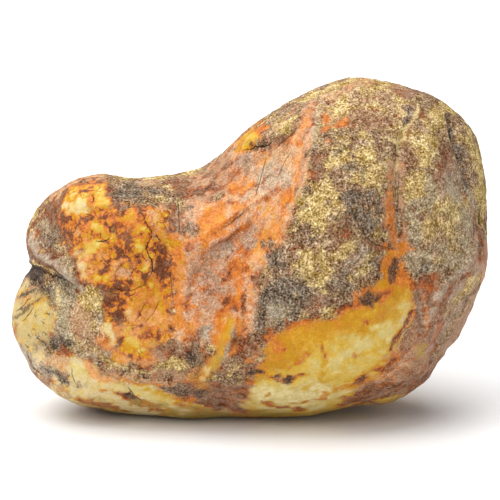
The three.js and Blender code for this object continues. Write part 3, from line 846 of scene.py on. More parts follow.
    Streak(THREAD, [(416, 102), (413, 118), (407, 126), (406, 136), (400, 143), (401, 154)], 3.6, 1.0, 0.3),
    Streak(THREAD, [(382, 138), (392, 141), (401, 145)], 3.2, 0.9, 0.3),
    Dab(ORANGE, (328, 130), (4, 10), 0.8, 8),
    Dab(ORANGE, (342, 122), (6, 3), 0.75, 20),
    Streak(ASH, [(321, 108), (316, 130), (314, 152)], 4),
    Streak(THREAD, [(322, 112), (320, 126), (317, 142)], 2.2),
    Streak(TAN, [(326, 140), (322, 156)], 5),
    Streak(BARK, [(396, 158), (393, 185), (392, 215), (394, 240), (401, 256)], 11, 0.85),
    Streak(ORANGE, [(394, 180), (392, 200), (392, 218), (394, 238), (400, 254)], 7),
    Streak(BARK, [(404, 158), (403, 190), (403, 215), (405, 240), (409, 258)], 5, 0.85),
    Streak(SALMON, [(403, 196), (403, 215), (404, 232), (408, 252)], 3, 0.5),
    Streak(THREAD, [(398, 154), (398, 170), (397, 190), (398, 214)], 2.2, 0.7),
    Streak(THREAD, [(355, 238), (366, 244), (376, 250)], 2.0),
    Streak(ORANGE, [(402, 250), (390, 262), (380, 274)], 12, 0.95),
    Streak(UMBER, [(366, 240), (378, 250), (392, 254)], 7, 0.8),
    Dab(SLATE, (422, 268), (6, 6), 0.85),
    # A pale grey streak down the right margin: partly ash-grey skin, partly a painted highlight along the
    # edge.
    Streak(ASH, [(459, 160), (468, 190), (475, 222), (474, 250), (464, 268), (446, 282), (434, 298)], 5,
        0.7),
    Streak(ROSE, [(464, 190), (472, 216), (474, 244)], 4),
    Streak(SLATE, [(451, 116), (455, 138), (462, 162), (470, 188)], 6, 0.8),
    Streak(STRAW, [(468, 128), (478, 160), (481, 196), (480, 226)], 8, 0.85),
    Streak(UMBER, [(474, 214), (482, 240), (482, 262)], 5, 0.7),
    # --- flank at the lower right
    Patch(PLUM, [(413, 286), (430, 290), (437, 310), (432, 336), (424, 348), (414, 330)], 0.85, ragged=4),
    Streak(SALMON, [(424, 294), (428, 314), (426, 332)], 4),
    Streak(ASH, [(418, 300), (421, 322), (420, 340)], 3),
    Dab(RUST, (428, 284), (14, 6), 0.6, 20),
    Dab(RUST, (486, 262), (4, 10), 0.7),
    Patch(ASH, [(470, 262), (486, 262), (476, 292), (456, 326), (436, 352), (430, 344), (442, 316),
        (454, 288)], 0.45, ragged=5),
    # A pale grey streak along the flank's crest: partly ash-grey skin, partly a painted highlight on the
    # crest.
    Streak(ASH, [(476, 250), (463, 268), (447, 284), (436, 302), (431, 322)], 5, 0.8),
    Streak(PLUM, [(480, 258), (466, 276), (451, 290), (441, 308)], 3.4, 0.7),
    Streak(MOSS, [(472, 296), (458, 318), (446, 340), (436, 356)], 5, 0.7),
    Streak(CRUST, [(482, 274), (468, 302), (450, 334), (434, 362), (412, 384)], 5),
    Streak(STRAW, [(481, 268), (470, 284), (456, 300), (447, 320)], 5, 0.75),
    Streak(SLATE, [(484, 282), (470, 302), (456, 324), (444, 348)], 5),
    Streak(TAN, [(487, 262), (479, 286), (465, 310), (450, 334)], 4, 0.7),
    Streak(UMBER, [(453, 290), (445, 308), (441, 330)], 4),
    Dab(RUST, (437, 332), (3.5, 10), 0.85, -15),
    Dab(OLIVE, (419, 350), (5, 7)),
    Patch(ROSE, [(386, 370), (396, 354), (410, 345), (416, 352), (408, 366), (392, 378)], 0.95, ragged=4),
    Streak(SALMON, [(376, 380), (394, 371), (410, 360)], 5, 0.8),
    Streak(PLUM, [(392, 362), (404, 354), (412, 346)], 3, 0.7),
    Streak(UMBER, [(432, 366), (408, 381), (386, 392), (362, 400)], 9, 0.85),
    Streak(SLATE, [(438, 368), (416, 387), (392, 399), (368, 405)], 5, 0.7),
    Streak(TAN, [(426, 377), (405, 389), (384, 397)], 3, 0.7),
    Streak(UMBER, [(440, 362), (424, 378), (404, 392), (384, 401)], 5, 0.7),
    # --- bare window
    Dab(RUST, (270, 340), (12, 5), 0.8, 30),
    Dab(RUST, (300, 326), (16, 3), 0.75, 24),
    Dab(RUST, (344, 307), (14, 3), 0.6, 22),
    Dab(AMBER, (280, 353), (18, 14), 0.95, 25),
    Dab(ORANGE, (273, 346), (12, 7), 0.5, 30),
    Streak(ORANGE, [(262, 358), (284, 338), (312, 326), (340, 313), (366, 303)], 5, 0.55),
    Dab(HONEY, (314, 340), (20, 7), 0.6, 22),
    Dab(AMBER, (344, 320), (24, 7), 0.8, 22),
    Dab(HONEY, (374, 312), (18, 7), 0.7, 28),
    Dab(AMBER, (388, 297), (14, 9), 0.85, 28),
    Dab(HONEY, (296, 338), (12, 7), 0.7, 24),
    Dab(PALE, (354, 352), (32, 12), 0.85, 28),
    Dab(PALE, (388, 332), (12, 9), 0.7, 40),
    Dab(BUFF, (403, 322), (6, 13), 0.7, -25),
    Patch(PALE, [(246, 400), (262, 384), (290, 388), (320, 380), (350, 384), (346, 398), (322, 408),
        (280, 410), (250, 408)], 0.85, ragged=5),
    Patch(MILK, [(250, 398), (266, 388), (292, 390), (322, 384), (346, 388), (340, 398), (312, 406),
        (276, 408)], 0.9, ragged=5),
    Dab(PALE, (322, 366), (16, 7), 0.5, 20),
    Dab(OLIVE, (338, 346), (22, 8), 0.4, 28),
    Streak(HONEY, [(330, 346), (326, 362), (320, 382)], 7, 0.75),
    Streak(ORANGE, [(286, 372), (296, 360), (308, 352)], 2.2),
    Streak(HONEY, [(300, 392), (316, 384), (338, 380)], 4),
    Streak(HONEY, [(344, 366), (362, 356), (384, 344)], 5, 0.5),
    Streak(ORANGE, [(320, 399), (344, 387), (366, 375), (390, 361), (404, 347)], 7, 0.75),
    Streak(UMBER, [(350, 383), (366, 375), (382, 367), (399, 354)], 4, 0.85),
    Dab(ORANGE, (368, 298), (16, 10), 0.85, 30),
    Dab(SOOT_AND_SHADE, (370, 300), (9, 7), 0.9, 35),
    Dab(ORANGE, (393, 268), (12, 20), 0.9),
    Dab(SLATE, (378, 266), (4, 4), 0.85),
    Streak(SOOT_AND_SHADE, [(398, 258), (396, 270), (391, 284)], 6, 0.85),
    Dab(RUST, (390, 294), (6, 4), 0.85),
    Dab(RUST, (404, 284), (7, 6), 0.6),
    Dab(UMBER, (366, 322), (2.4, 2), 0.9),
    Streak(UMBER, [(326, 343), (325, 350), (327, 357)], 3, 0.85),
    Dab(UMBER, (282, 350), (1.8, 1.8)),
    Dab(UMBER, (358, 356), (1.6, 1.8)),
    Streak(UMBER, [(286, 371), (297, 363), (310, 356)], 2),
    Streak(UMBER, [(246, 378), (258, 373), (270, 374), (284, 381), (300, 377)], 4, 0.8),
    Streak(SOOT_AND_SHADE, [(250, 377), (264, 372)], 3.4, 0.85),
    Dab(SOOT_AND_SHADE, (272, 375), (2.6, 1.8)),
    Dab(SOOT_AND_SHADE, (287, 381), (3, 2.6), 0.85, 30),
    Dab(LIVER, (297, 377), (4, 1.8), 0.85),
    Streak(UMBER, [(412, 312), (402, 330), (388, 349)], 4, 0.9),
    Streak(PLUM, [(428, 364), (406, 378), (384, 388), (362, 396), (340, 402)], 10, 0.9),
    Streak(UMBER, [(404, 376), (382, 386), (356, 396)], 4, 0.8),
    Streak(CREAM, [(404, 390), (384, 399), (356, 407)], 6, 0.9),
    Streak(UMBER, [(290, 402), (310, 400), (326, 401)], 3, 0.7),
    Streak(UMBER, [(262, 402), (284, 407), (306, 408)], 4, 0.8),
    Streak(UMBER, [(264, 398), (270, 393)], 2.4, 0.8),
    # Partly olive stain, partly painted shade along the window's bottom edge, on the underside.
    Streak(OLIVE, [(244, 412), (290, 416), (340, 411)], 5, 0.8),
)
FRONT_FOLDS = (
    # layers of skin that break away down the scoop
    Fold([(296, 178), (270, 196), (247, 211), (222, 228), (200, 242)], 7, 0.9, Profile.STEP),
    Fold([(240, 203), (219, 207), (200, 224)], 6, 0.5, Profile.STEP),
    Fold([(262, 206), (250, 222), (226, 240), (204, 256)], 6, 0.7, Profile.STEP),
    Fold([(256, 236), (246, 254), (226, 270), (214, 288)], 6, 0.8, Profile.STEP),
    Fold([(210, 258), (196, 272), (188, 292)], 6, 0.5, Profile.STEP),
    Fold([(244, 290), (232, 304), (226, 322)], 5, 0.5),
    Fold([(300, 118), (286, 134), (270, 150), (252, 164), (232, 182)], 5, 0.5, Profile.STEP),
    Fold([(252, 160), (236, 172), (214, 190)], 5, -0.4),
    # brow and its notch
    Fold([(316, 98), (300, 120), (282, 138), (262, 148), (242, 152)], 5, 0.9, Profile.STEP),
    Fold([(246, 150), (258, 147), (270, 143)], 4, -0.9),
    # crest between the scoop and the crust
    Fold([(318, 104), (312, 150), (302, 190), (287, 225), (276, 256)], 5, 0.7),
    Fold([(276, 256), (268, 290), (258, 330)], 5, 0.5),
    # nodules and the seams between them
    Fold([(88, 190), (80, 200), (80, 212)], 6, 0.4),
    Fold([(84, 214), (98, 212), (112, 206)], 4, -0.6),
    Fold([(84, 240), (98, 238), (112, 238)], 4, -0.6),
    Fold([(104, 262), (108, 250), (114, 240)], 4, -0.5),
    Fold([(124, 204), (122, 224), (120, 244), (124, 262)], 4, -0.5),
    Fold([(126, 282), (140, 284), (152, 280)], 4, -0.6),
    Fold([(104, 284), (114, 290), (126, 292)], 4, -0.6),
    Fold([(122, 300), (122, 320), (126, 338)], 4, -0.5),
    Fold([(100, 318), (112, 320), (122, 324)], 4, -0.4),
    Fold([(147, 214), (154, 238), (156, 262), (148, 282)], 5, 0.7, Profile.STEP),
    # crease at the left end
    Fold([(40, 266), (50, 272), (60, 279), (72, 287), (84, 294)], 4, -1.0),
    Fold([(28, 238), (40, 256), (60, 270), (84, 285)], 4, 0.6),
    Fold([(31, 256), (33, 267), (32, 276), (22, 286)], 7, 0.6),
    Fold([(26, 290), (40, 284), (50, 296), (56, 318)], 4, -0.6),
    Fold([(56, 286), (57, 305), (60, 326)], 3, 0.5),
    Fold([(24, 350), (46, 346), (66, 354), (80, 372)], 5, -0.6),
    # folds of the underside
    Fold([(82, 352), (90, 368), (108, 380), (140, 382)], 4, -0.7),
    Fold([(100, 366), (130, 378), (172, 380)], 5, 0.5),
    Fold([(160, 388), (186, 380), (220, 380), (256, 388)], 5, 0.5),
    Fold([(22, 352), (36, 370), (52, 384), (77, 399), (104, 410)], 9, 1.15),
    Fold([(120, 392), (150, 398), (190, 410)], 4, 0.4),
    # glossy channel below the scoop
    Fold([(238, 274), (228, 300), (220, 330), (206, 360), (196, 384)], 5, -0.7),
    Fold([(244, 296), (236, 320), (226, 346), (214, 370)], 5, 0.6),
    # edge of the crust over the window, and dimples in the window
    Fold([(384, 270), (372, 286), (346, 302), (312, 316), (284, 330), (262, 346)], 4, 0.5, Profile.STEP),
    Fold([(250, 372), (270, 370), (296, 380), (320, 372)], 5, -0.4),
    Fold([(352, 380), (376, 372), (402, 352), (414, 322)], 5, -0.5),
    Fold([(344, 398), (374, 390), (402, 378), (430, 356)], 5, 0.6),
    # flank at the lower right
    Fold([(438, 362), (421, 378), (407, 388), (388, 397), (352, 405)], 10, 1.4),
    Fold([(474, 308), (464, 326), (452, 344), (443, 356)], 7, -0.7),
    Fold([(474, 232), (472, 254), (462, 270), (446, 284), (434, 304), (430, 330)], 5, 0.8),
    Fold([(470, 286), (456, 300), (446, 322), (432, 350)], 5, -0.35),
    Fold([(420, 282), (420, 310), (424, 340)], 4, -0.5),
    # recess beside the right end
    Fold([(450, 110), (453, 132), (461, 160), (472, 192)], 5, -1.0),
    Fold([(443, 112), (446, 136), (454, 166), (466, 198)], 4, 0.5),
    Fold([(472, 200), (477, 214), (480, 232)], 3, -0.6),
    # veins down the head
    Fold([(414, 104), (404, 132), (398, 162), (398, 190), (398, 215), (402, 240), (409, 256)], 3.5, -0.8),
    Fold([(392, 160), (389, 190), (389, 216), (394, 240)], 3, 0.4),
    Fold([(366, 236), (380, 246), (396, 252)], 3, -0.5),
    Fold([(334, 120), (338, 150), (350, 180), (356, 210)], 8, 0.4),
)
FRONT_CRACKS = (
    Crack([(143, 214), (147, 225), (152, 234), (147, 248), (152, 262), (152, 272), (145, 284)], 1.5, 0.5,
        1.0),
    Crack([(150, 231), (156, 235), (162, 242)], 1.2, 0.3, 0.9),
    Crack([(110, 286), (124, 291), (138, 288), (150, 283)], 0.9, 0.4, 0.7),
    Crack([(126, 262), (118, 268), (112, 278)], 0.8, 0.3, 0.6),
    Crack([(101, 318), (110, 316), (118, 321)], 0.9, 0.3, 0.6),
    Crack([(300, 225), (310, 228), (322, 230)], 0.8, 0.3, 0.6),
    Crack([(177, 196), (179, 214), (179, 236)], 1.1, 0.4, 0.8),
    Crack([(170, 270), (171, 286), (173, 302)], 1.0, 0.4, 0.7),
    Crack([(96, 241), (103, 241), (110, 237)], 1.5, 0.3, 1.0),
    Crack([(267, 154), (261, 176), (255, 201)], 0.9, 0.2, 0.75),
    Crack([(292, 150), (284, 162), (276, 180)], 0.8, 0.2, 0.6),
    # specks and short scratches in the bare boss at the left end
    *(Crack([(x, y), (x + 3, y + 2)], 1.2, 0.0, 0.8) for x, y in (
        (34, 314), (41, 321), (33, 328), (44, 332), (37, 338), (28, 335), (46, 313), (25, 345))),
    Crack([(16, 312), (24, 304), (30, 297)], 1.2, 0.1, 0.8),
    Crack([(22, 322), (30, 313), (34, 306)], 1.0, 0.1, 0.8),
    Crack([(302, 124), (286, 138), (272, 150)], 1.0, 0.3, 0.8),
    Crack([(241, 151), (256, 146), (268, 145), (276, 140)], 1.6, 0.5),
    Crack([(247, 211), (232, 222), (221, 229)], 0.9, 0.2, 0.6),
    Crack([(150, 300), (144, 306), (140, 314), (134, 322)], 0.9, 0.2, 0.7),
    Crack([(160, 300), (154, 312), (146, 322)], 0.8, 0.2, 0.6),
    Crack([(92, 194), (94, 198), (92, 203)], 1.6, 0.3),
    Crack([(95, 194), (97, 198)], 1.6, 0.3),
    Crack([(26, 262), (36, 268), (50, 276), (66, 284)], 1.6, 0.5, 0.9),
    Crack([(72, 368), (72, 376), (76, 384)], 1.0, 0.2, 0.7),
    Crack([(127, 386), (134, 394), (142, 402)], 1.2, 0.2, 0.8),
    Crack([(480, 206), (481, 218), (482, 228)], 1.6, 0.4),
    Crack([(473, 214), (475, 228), (475, 240)], 1.0, 0.3, 0.8),
    Crack([(452, 122), (454, 140), (462, 166)], 1.2, 0.4, 0.9),
    Crack([(464, 176), (468, 190)], 1.2, 0.3, 0.9),
    Crack([(296, 226), (306, 232), (316, 230)], 0.9, 0.2, 0.7),
    Crack([(366, 236), (376, 244), (390, 248)], 1.0, 0.2, 0.8),
    Crack([(400, 170), (399, 195), (399, 220)], 0.6, 0.2, 0.4),
    Crack([(20, 372), (40, 384), (60, 392)], 1.0, 0.2, 0.6),
    Crack([(26, 352), (34, 364), (48, 376)], 1.0, 0.2, 0.6),
)
BROAD_FACE = Sheet(FRONT, CRUST, FRONT_LAYERS, FRONT_FOLDS, FRONT_CRACKS)

BACK_LAYERS = (
    # --- wide stretches of skin
    Patch(MOSS, [(20, 150), (70, 95), (130, 80), (140, 150), (110, 220), (60, 250), (14, 230)]),
    Patch(UMBER, [(150, 90), (200, 100), (250, 130), (260, 210), (210, 260), (160, 230), (150, 160)], 0.6),
    Patch(SALMON, [(225, 150), (262, 140), (300, 170), (330, 190), (330, 260), (300, 320), (255, 330),
        (232, 270), (240, 210)], 0.9, ragged=14),
    Patch(NODULE, [(335, 190), (380, 175), (430, 180), (466, 215), (468, 260), (430, 300), (380, 300),
        (340, 260)], 0.85, ragged=12),
    Patch(ROSE, [(300, 250), (350, 270), (400, 300), (380, 360), (310, 370), (280, 320)], 0.7, ragged=12),
    Patch(AMBER, [(72, 346), (88, 330), (124, 318), (168, 324), (206, 322), (246, 340), (284, 372),
        (276, 404), (230, 418), (160, 420), (104, 404)], ragged=12, soft=6),
    Patch(CREAM, [(104, 356), (140, 348), (178, 352), (222, 356), (256, 378), (250, 402), (200, 418),
        (140, 414), (112, 392)], 0.95, ragged=14, soft=16),
    Patch(BUFF, [(404, 352), (424, 334), (452, 330), (478, 338), (480, 362), (456, 388), (424, 398),
        (398, 388)], 0.9, ragged=16, soft=9),
    Patch(PLUM, [(20, 260), (60, 265), (90, 310), (100, 370), (60, 350), (24, 300)], 0.85, ragged=9),
    # --- bare window below the head
    Streak(RUST, [(74, 350), (90, 332), (126, 320), (168, 325), (208, 324), (246, 342), (280, 370)], 5,
        0.8),
    Streak(ORANGE, [(86, 352), (104, 340), (134, 330), (170, 334)], 5),
    Dab(HONEY, (196, 346), (34, 10), 0.8, 5),
    Dab(HONEY, (130, 372), (16, 8), 0.6, -20),
    Dab(PALE, (164, 372), (30, 12), 0.85, -8),
    Dab(PALE, (222, 390), (22, 8), 0.8, -14),
    Dab(OLIVE, (152, 404), (34, 6), 0.7, 4),
    Dab(SOOT_AND_SHADE, (116, 344), (10, 6), 0.9, 20),
    Dab(UMBER, (128, 349), (8, 4), 0.8, -15),
    Dab(SOOT_AND_SHADE, (232, 356), (6, 4), 0.9, -30),
    Streak(UMBER, [(186, 392), (204, 380), (228, 374), (250, 366)], 3.4, 0.85),
    Streak(RUST, [(146, 386), (152, 370), (150, 352)], 2.6, 0.7),
    Dab(UMBER, (176, 362), (2.2, 2), 0.9),
    Dab(UMBER, (206, 358), (1.8, 1.8), 0.9),
    Dab(UMBER, (140, 360), (1.8, 2.2), 0.9),
    Streak(PLUM, [(60, 304), (110, 310), (160, 312), (230, 328)], 8),
    Streak(UMBER, [(106, 404), (150, 410), (196, 404), (250, 408)], 5, 0.85),
    Streak(SLATE, [(250, 402), (276, 392), (300, 396)], 8, 0.8),
    # --- rind of the head
    Dab(STRAW, (90, 140), (26, 22), 0.9, 20),
    Dab(STRAW, (150, 120), (24, 14), 0.8, 20),
    Dab(STRAW, (60, 210), (14, 22), 0.8, 15),
    Dab(SAND, (130, 96), (34, 12), 0.7, -10),
    Dab(SLATE, (120, 190), (20, 24), 0.9, 10),
    Dab(SLATE, (190, 206), (15, 22), 0.8, 20),
    Dab(ROSE, (204, 176), (12, 18), 0.4, 10),
    Dab(STRAW, (176, 158), (20, 13), 0.8, -15),
    Dab(ASH, (84, 236), (16, 10), 0.6, 20),
    Dab(SLATE, (100, 270), (26, 14), 0.8, 10),
    Dab(STRAW, (160, 280), (24, 15), 0.8, 15),
    Dab(UMBER, (136, 244), (14, 12), 0.6),
    Dab(MOSS, (200, 300), (24, 12), 0.8, 10),
    Dab(ORANGE, (208, 250), (5, 9), 0.7, 20),
    Streak(UMBER, [(110, 100), (118, 140), (112, 190), (120, 240), (140, 280)], 8, 0.9),
    Streak(ORANGE, [(112, 150), (112, 180), (118, 222)], 3, 0.7),
    # --- worn hollow behind the saddle
    Patch(BARK, [(232, 152), (258, 142), (286, 158), (284, 184), (262, 198), (244, 190)], 0.8, ragged=8),
    Patch(ROSE, [(248, 262), (272, 236), (296, 240), (300, 272), (284, 304), (260, 318)], 0.85, ragged=8),
    Patch(TAN, [(258, 196), (286, 190), (312, 206), (306, 234), (280, 244), (262, 226)], 0.6, ragged=9),
    Streak(RUST, [(244, 184), (270, 192), (298, 212)], 3),
    Streak(RUST, [(258, 250), (282, 262), (312, 268)], 3),
    Patch(CRUST, [(300, 296), (330, 300), (350, 330), (330, 352), (300, 340)], 0.7, ragged=9),
    Streak(ORANGE, [(246, 208), (262, 228), (250, 262), (254, 300)], 11, 0.8),
    Streak(PEACH, [(300, 196), (288, 220), (272, 236)], 8, 0.8),
    Streak(TAN, [(236, 160), (240, 200), (236, 244), (246, 290)], 5, 0.7),
    Dab(MOSS, (276, 176), (11, 8), 0.5, 20),
    Dab(RUST, (262, 224), (10, 7), 0.85, 40),
    Dab(RUST, (280, 268), (9, 13), 0.8, 20),
    Dab(UMBER, (288, 288), (9, 6), 0.7),
    Dab(ORANGE, (304, 232), (12, 9), 0.85, -20),
    Dab(SLATE, (330, 186), (22, 8), 0.8, -10),
    Dab(ASH, (262, 244), (6, 5), 0.6),
    # --- nodules at the narrow end
    Dab(CREAM, (400, 214), (14, 9), 0.9, 20),
    Dab(OLIVE, (370, 230), (12, 8), 0.9),
    Dab(UMBER, (424, 236), (15, 8), 0.8, 30),
    Dab(HONEY, (386, 262), (15, 9), 0.9, -10),
    Dab(BUFF, (444, 206), (8, 10), 0.8, 20),
    Dab(ORANGE, (354, 214), (10, 12), 0.9),
    Dab(RUST, (384, 246), (9, 4), 0.8, 10),
    Dab(UMBER, (366, 252), (5, 8)),
    Dab(ORANGE, (360, 276), (14, 9)),
    Dab(HONEY, (352, 240), (7, 8), 0.7),
    Dab(SOOT_AND_SHADE, (408, 256), (5, 4), 0.6),
    Dab(PLUM, (340, 240), (5, 14)),
    Dab(MOSS, (448, 240), (12, 18), 0.9),
    Dab(TAN, (432, 268), (14, 9), 0.8, -20),
    Dab(STRAW, (420, 300), (18, 10), 0.8, -10),
    Dab(SLATE, (452, 292), (18, 7), 0.9, -20),
    # --- underside at the narrow end
    Dab(UMBER, (340, 330), (20, 10), 0.7),
    Dab(STRAW, (366, 350), (14, 9), 0.7),
    Dab(HONEY, (412, 352), (8, 14), 0.9, 10),
    Dab(CREAM, (446, 352), (18, 9), 0.7, -10),
    Streak(RUST, [(398, 344), (420, 330), (450, 325), (478, 332)], 4, 0.8),
    Streak(UMBER, [(428, 384), (446, 366), (470, 356), (488, 350)], 4, 0.85),
    Streak(ASH, [(414, 374), (436, 364), (454, 348)], 6, 0.7),
    Streak(SLATE, [(392, 394), (420, 380), (444, 378)], 6, 0.8),
    Dab(PEACH, (432, 396), (18, 5), 0.8, -15),
    Dab(SLATE, (318, 384), (22, 8)),
    Dab(CRUST, (352, 378), (24, 10)),
)
BACK_FOLDS = (
    Fold([(240, 130), (230, 180), (236, 230), (250, 290)], 7, 0.8),
    Fold([(300, 190), (270, 220), (256, 250)], 6, 0.7, Profile.STEP),
    Fold([(320, 230), (290, 262), (270, 300)], 6, 0.7, Profile.STEP),
    Fold([(336, 200), (334, 240), (346, 290)], 5, -0.7),
    Fold([(118, 96), (116, 150), (114, 210), (130, 262)], 4, -0.7),
    Fold([(60, 330), (120, 318), (190, 322), (270, 356)], 5, 0.6, Profile.STEP),
    Fold([(40, 190), (70, 240), (60, 300)], 7, 0.6),
    Fold([(380, 240), (410, 244), (430, 260)], 4, -0.5),
    Fold([(390, 300), (430, 316), (470, 306)], 5, -0.7),
)
BACK_CRACKS = (
    Crack([(340, 204), (336, 230), (344, 262), (340, 290)], 1.6, 0.5),
    Crack([(300, 196), (290, 220), (294, 250)], 1.1, 0.3, 0.8),
    Crack([(200, 240), (190, 262), (196, 290)], 1.0, 0.3, 0.7),
    Crack([(140, 120), (150, 150), (142, 186)], 1.0, 0.3, 0.7),
    Crack([(400, 250), (420, 262), (446, 262)], 1.1, 0.3, 0.8),
)
PLAIN_BACK = Sheet(BACK, CRUST, BACK_LAYERS, BACK_FOLDS, BACK_CRACKS)


@dataclass
class Paint:
    """The dressing at each place on the stone."""

    NAMES = ("bare", "veiled", "crust", "grains", "flecks", "cells")

    veil: np.ndarray
    skin: np.ndarray  # one column for each of NAMES
    rise: np.ndarray  # relief, in millimetres
    crack: np.ndarray  # strength of the nearest crack
    crack_side: np.ndarray  # where the place lies across that crack, in half widths

    @classmethod
    def plain(cls, finish: Finish, count: int) -> "Paint":
        """One finish all over, with no relief."""
        veil, skin = np.array(linear_colour(finish.veil)), finish.values()
        return cls(np.tile(veil, (count, 1)), np.tile(skin, (count, 1)), *np.zeros((3, count)))

    def lay(self, finish: Finish, rows: np.ndarray, cover: np.ndarray) -> None:
        """Lays a finish over some of the places.

        Args:
            finish: The finish.
            rows: The places' numbers.
            cover: How fully it covers each of them, from 0 to 1.
        """
        kept = self.skin[rows, -1]
        self.veil[rows] += (np.array(linear_colour(finish.veil)) - self.veil[rows]) * cover[:, None]
        self.skin[rows] += (finish.values() - self.skin[rows]) * cover[:, None]
        if finish.cells is None:
            self.skin[rows, -1] = kept

    def open_crack(self, crack: Crack, rows: np.ndarray, places: np.ndarray) -> None:
        """Cuts a crack into some of the places.

        Args:
            crack: The crack.
            rows: The places' numbers.
            places: The places on the drawing, one row for each of those numbers.
        """
        gap, share = measure_from_path(places, smooth_path(crack.path))
        fade = fade_ends(share, crack.fade)
        strength = crack.dark * fade * smooth_step(*crack.known, np.abs(gap))
        nearer = strength > self.crack[rows]
        self.crack[rows[nearer]] = strength[nearer]
        self.crack_side[rows[nearer]] = (gap * 2.0 / crack.width)[nearer]
        groove = np.exp(-((gap / max(crack.width, crack.groove)) ** 2))
        self.rise[rows] -= crack.depth_mm * fade * groove

    def blend(self, other: "Paint", share: np.ndarray) -> None:
        """Runs into another dressing.

        Args:
            other: The other dressing of the same places.
            share: How much of it shows at each place, from 0 to 1.
        """
        self.veil += (other.veil - self.veil) * share[:, None]
        self.skin += (other.skin - self.skin) * share[:, None]
        self.rise += (other.rise - self.rise) * share
        nearer = other.crack * share > self.crack * (1.0 - share)
        self.crack = np.where(nearer, other.crack * share, self.crack * (1.0 - share))
        self.crack_side = np.where(nearer, other.crack_side, self.crack_side)

    def store(self, mesh: Mesh) -> None:
        """Keeps the dressing on a mesh, as point attributes.

        Args:
            mesh: The mesh, with one point for each place.
        """
        veil = mesh.attributes.new("veil", "FLOAT_COLOR", "POINT")
        veil.data.foreach_set("color", np.hstack([self.veil, np.ones((len(self.veil), 1))]).ravel())
        columns = dict(zip(self.NAMES, self.skin.T))
        columns |= {"rise": self.rise, "crack": self.crack, "crack_side": self.crack_side}
        for name, values in columns.items():
            held = mesh.attributes.new(name, "FLOAT", "POINT")
            held.data.foreach_set("value", np.ascontiguousarray(values))


@dataclass(frozen=True)
class Painter:
    """Works out the stone's dressing from its drawings."""

    wander_waves: Pair = (5.0, 2.2)  # of ragged edges, wide and fine, in millimetres
    drift: float = 3.0  # how far a drawn place strays, in units
    drift_wave: float = 7.0
    drift_octaves: int = 3
    fold_drift: float = 0.3  # how much of that a fold strays
    seam: Pair = (-9.0, -2.0)  # nearness over which the two sides' drawings meet
    seam_drift: float = 3.0
    seed: int = 11
    seam_seed: int = 16

    def read(self, sheet: Sheet, places: np.ndarray) -> Paint:
        """Reads one side's drawing.

        Args:
            sheet: The drawing.
            places: Places in metres, one row each.

        Returns:
            The dressing that it gives them.
        """
        spots = places / MM
        noise = LatticeNoise(self.seed)
        wander = np.stack([noise.layered(spots, wave) for wave in self.wander_waves], axis=1)
        strays = [
            LatticeNoise(self.seed + i).layered(spots, self.drift_wave, self.drift_octaves) for i in (1, 2)
        ]
        drawn = sheet.outlook.draw(places)
        strayed = drawn + self.drift * np.stack(strays, axis=1)
        paint = Paint.plain(sheet.ground.value, len(places))
        for layer in sheet.layers:
            rows = layer.near(strayed)
            paint.lay(layer.skin.value, rows, layer.cover(strayed[rows], wander[rows]))
        for fold in sheet.folds:
            rows = fold.near(drawn)
            paint.rise[rows] += fold.rise(drawn[rows] + self.fold_drift * (strayed - drawn)[rows])
        for crack in sheet.cracks:
            rows = crack.near(drawn)
            paint.open_crack(crack, rows, drawn[rows])
        return paint

    def read_both(self, places: np.ndarray) -> Paint:
        """Reads the broad face and the back, and lets them run into each other round the rim.

        Args:
            places: Places in metres, one row each.

        Returns:
            Their dressing.
        """
        paint = self.read(BROAD_FACE, places)
        stray = LatticeNoise(self.seam_seed).layered(places / MM, self.wander_waves[0])
        near = BROAD_FACE.outlook.nearness(places) + self.seam_drift * stray
        paint.blend(self.read(PLAIN_BACK, places), 1.0 - smooth_step(*self.seam, near))
        return paint


MATH, RANGE, MIX = "ShaderNodeMath", "ShaderNodeMapRange", "ShaderNodeMix"
ALONG, NOISE, CELLS = "ShaderNodeVectorMath", "ShaderNodeTexNoise", "ShaderNodeTexVoronoi"


def add_node(
    tree: NodeTree, kind: str, inputs: Mapping[str | int, object] | None = None,
    out: str | int = 0, **settings: object,
) -> NodeSocket:
    """Adds a node to a tree.

    Args:
        tree: The tree.
        kind: Blender's name for the kind of node.
        inputs: For each input by name or place, the socket that feeds it or the value that it holds.
        out: Which output to give back.
        **settings: The node's own settings.

    Returns:
        The chosen output socket, or the node's first input where it has no output.
    """
    node = tree.nodes.new(kind)
    for name, value in settings.items():
        setattr(node, name, value)
    for key, value in (inputs or {}).items():
        if isinstance(value, NodeSocket):
            tree.links.new(value, node.inputs[key])
        else:
            node.inputs[key].default_value = value
    return node.outputs[out] if node.outputs else node.inputs[0]


@dataclass(frozen=True)
class Span:
    """A stretch of values, and the stretch that a Map Range node turns it into."""

    low: float = 0.0
    high: float = 1.0
    start: float = 0.0
    end: float = 1.0

    def of(self, value: NodeSocket) -> dict[int, NodeSocket | float]:
        """The node's inputs for a value."""
        return {0: value, 1: self.low, 2: self.high, 3: self.start, 4: self.end}


@dataclass(frozen=True)
class Unevenness:
    """A random pattern that is fixed in the stone and swings evenly round zero."""

    wave: float  # in millimetres
    finer: float  # how many finer waves ride on it
    gain: float  # strength of each finer wave beside the one before
    seed: float
    middle: float = 0.5  # of what the noise gives

    def read(self, tree: NodeTree) -> NodeSocket:
        """Adds the pattern to a tree.

        Args:
            tree: The tree.

        Returns:
            The pattern's value.
        """
        place = add_node(tree, "ShaderNodeTexCoord", out="Object")
        inputs = {0: place, "W": self.seed, "Scale": 1.0 / (self.wave * MM)}
        inputs |= {"Detail": self.finer, "Roughness": self.gain}
        noise = add_node(tree, NOISE, inputs, noise_dimensions="4D")
        return add_node(tree, MATH, {0: noise, 1: self.middle}, operation="SUBTRACT")


